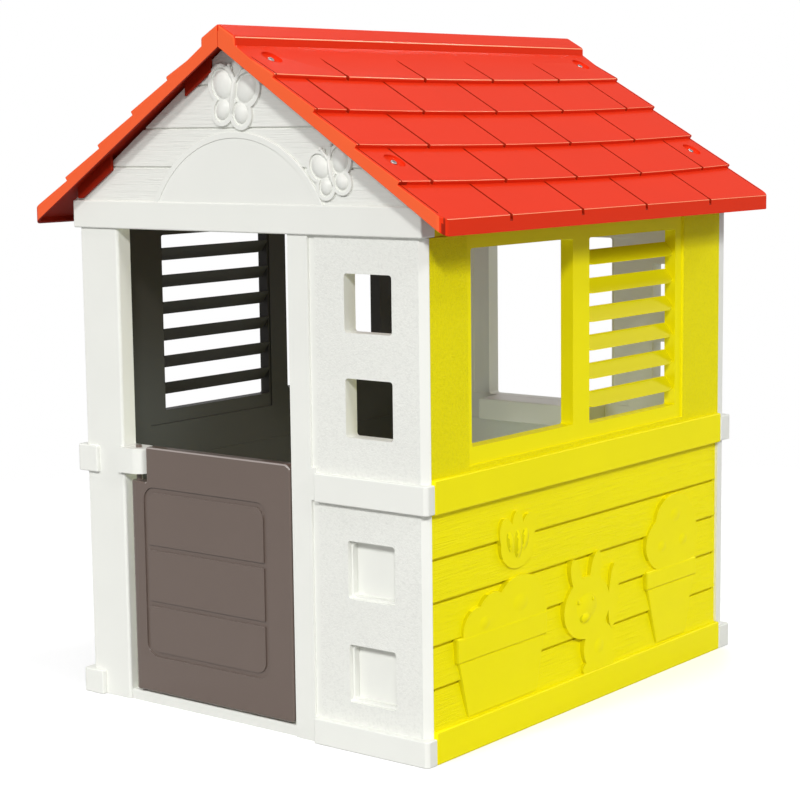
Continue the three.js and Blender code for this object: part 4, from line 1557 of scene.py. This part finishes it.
def floor():
    """A pale floor that fades into the white room."""
    deselect()
    bpy.ops.mesh.primitive_circle_add(vertices=96, radius=FLOOR_RADIUS, fill_type="NGON")
    ground = placed()
    ground.name = "floor"
    finish = Finish(bpy.data.materials.new("pale_floor"))
    coordinates = finish.node("ShaderNodeTexCoord", output=3)
    away = finish.node("ShaderNodeVectorMath", {"operation": "LENGTH"}, {0: coordinates}, output=1)
    grain = finish.bump(finish.noise(coordinates, scale=300.0), 0.1 * MM)
    lit = finish.node("ShaderNodeBsdfDiffuse", {}, {"Color": (0.9, 0.9, 0.9, 1), "Normal": grain})
    glow = finish.node("ShaderNodeEmission", {}, {"Color": WHITE, "Strength": FLOOR_GLOW})
    both = finish.node("ShaderNodeAddShader", {}, {0: lit, 1: glow})
    dim = finish.node("ShaderNodeBsdfDiffuse", {}, {"Color": (0.5, 0.5, 0.5, 1), "Normal": grain})
    to_camera = finish.node("ShaderNodeLightPath")
    ground_light = finish.node("ShaderNodeMixShader", {}, {0: to_camera, 1: dim, 2: both})
    clear = finish.node("ShaderNodeBsdfTransparent")
    fade = finish.ramp(away, *FLOOR_FADE)
    mix = finish.node("ShaderNodeMixShader", {}, {0: fade, 1: ground_light, 2: clear})
    finish.node("ShaderNodeOutputMaterial", {}, {"Surface": mix})
    ground.data.materials.append(finish.owner)


# ------------------------------------------------------------------ operators


class PLAYHOUSE_OT_front_panel(Operator):
    """Add the front panel with its windows and blind squares"""

    bl_idname = "playhouse.front_panel"
    bl_label = "Front panel"
    bl_options = {"REGISTER", "UNDO"}

    def execute(self, context):
        front_panel()
        return {"FINISHED"}


class PLAYHOUSE_OT_front_post(Operator):
    """Add the front post with the hinge lug"""

    bl_idname = "playhouse.front_post"
    bl_label = "Front post"
    bl_options = {"REGISTER", "UNDO"}

    def execute(self, context):
        front_post()
        return {"FINISHED"}


class PLAYHOUSE_OT_sill(Operator):
    """Add the door sill"""

    bl_idname = "playhouse.sill"
    bl_label = "Door sill"
    bl_options = {"REGISTER", "UNDO"}

    def execute(self, context):
        sill()
        return {"FINISHED"}


class PLAYHOUSE_OT_half_door(Operator):
    """Add the half door"""

    bl_idname = "playhouse.half_door"
    bl_label = "Half door"
    bl_options = {"REGISTER", "UNDO"}

    def execute(self, context):
        half_door()
        return {"FINISHED"}


class PLAYHOUSE_OT_side_walls(Operator):
    """Add both side walls"""

    bl_idname = "playhouse.side_walls"
    bl_label = "Side walls"
    bl_options = {"REGISTER", "UNDO"}

    def execute(self, context):
        side_walls()
        return {"FINISHED"}


class PLAYHOUSE_OT_back_wall(Operator):
    """Add the back wall"""

    bl_idname = "playhouse.back_wall"
    bl_label = "Back wall"
    bl_options = {"REGISTER", "UNDO"}

    def execute(self, context):
        back_wall()
        return {"FINISHED"}


class PLAYHOUSE_OT_gables(Operator):
    """Add both gables"""

    bl_idname = "playhouse.gables"
    bl_label = "Gables"
    bl_options = {"REGISTER", "UNDO"}

    def execute(self, context):
        gables()
        return {"FINISHED"}


class PLAYHOUSE_OT_roof(Operator):
    """Add both roof halves"""

    bl_idname = "playhouse.roof"
    bl_label = "Roof"
    bl_options = {"REGISTER", "UNDO"}

    def execute(self, context):
        roof()
        return {"FINISHED"}


class PLAYHOUSE_OT_screws(Operator):
    """Add the screws"""

    bl_idname = "playhouse.screws"
    bl_label = "Screws"
    bl_options = {"REGISTER", "UNDO"}

    def execute(self, context):
        screws()
        return {"FINISHED"}


class PLAYHOUSE_OT_stage(Operator):
    """Add the floor, the lights and the camera"""

    bl_idname = "playhouse.stage"
    bl_label = "Stage"
    bl_options = {"REGISTER", "UNDO"}

    def execute(self, context):
        stage = context.scene.playhouse_stage
        context.scene.view_settings.view_transform = "Standard"
        camera(stage)
        lights(stage)
        floor()
        return {"FINISHED"}


STEPS = (
    PLAYHOUSE_OT_stage,
    PLAYHOUSE_OT_front_panel,
    PLAYHOUSE_OT_front_post,
    PLAYHOUSE_OT_sill,
    PLAYHOUSE_OT_half_door,
    PLAYHOUSE_OT_side_walls,
    PLAYHOUSE_OT_back_wall,
    PLAYHOUSE_OT_gables,
    PLAYHOUSE_OT_roof,
    PLAYHOUSE_OT_screws,
)


class PLAYHOUSE_PT_sidebar(Panel):
    """Lists the playhouse's settings and pieces."""

    bl_label = "Playhouse"
    bl_space_type = "VIEW_3D"
    bl_region_type = "UI"
    bl_category = "Playhouse"

    def draw(self, context):
        scene = context.scene
        for group in (scene.playhouse_colours, scene.playhouse_sizes, scene.playhouse_stage):
            box = self.layout.box()
            for key in group.__annotations__:
                box.prop(group, key)
        for step in STEPS:
            self.layout.operator(step.bl_idname)


GROUPS = {
    "playhouse_colours": PlayhouseColours,
    "playhouse_sizes": PlayhouseSizes,
    "playhouse_stage": PlayhouseStage,
}


def register():
    """Register the settings, the operators and the panel."""
    for name, group in GROUPS.items():
        bpy.utils.register_class(group)
        setattr(bpy.types.Scene, name, PointerProperty(type=group))
    for step in STEPS:
        bpy.utils.register_class(step)
    bpy.utils.register_class(PLAYHOUSE_PT_sidebar)


def unregister():
    """Take back what register did, in the opposite order."""
    bpy.utils.unregister_class(PLAYHOUSE_PT_sidebar)
    for step in reversed(STEPS):
        bpy.utils.unregister_class(step)
    for name, group in reversed(GROUPS.items()):
        delattr(bpy.types.Scene, name)
        bpy.utils.unregister_class(group)


def main():
    """Add the stage and every piece in order."""
    register()
    for step in STEPS:
        group, action = step.bl_idname.split(".")
        getattr(getattr(bpy.ops, group), action)()


if __name__ == "__main__":
    main()
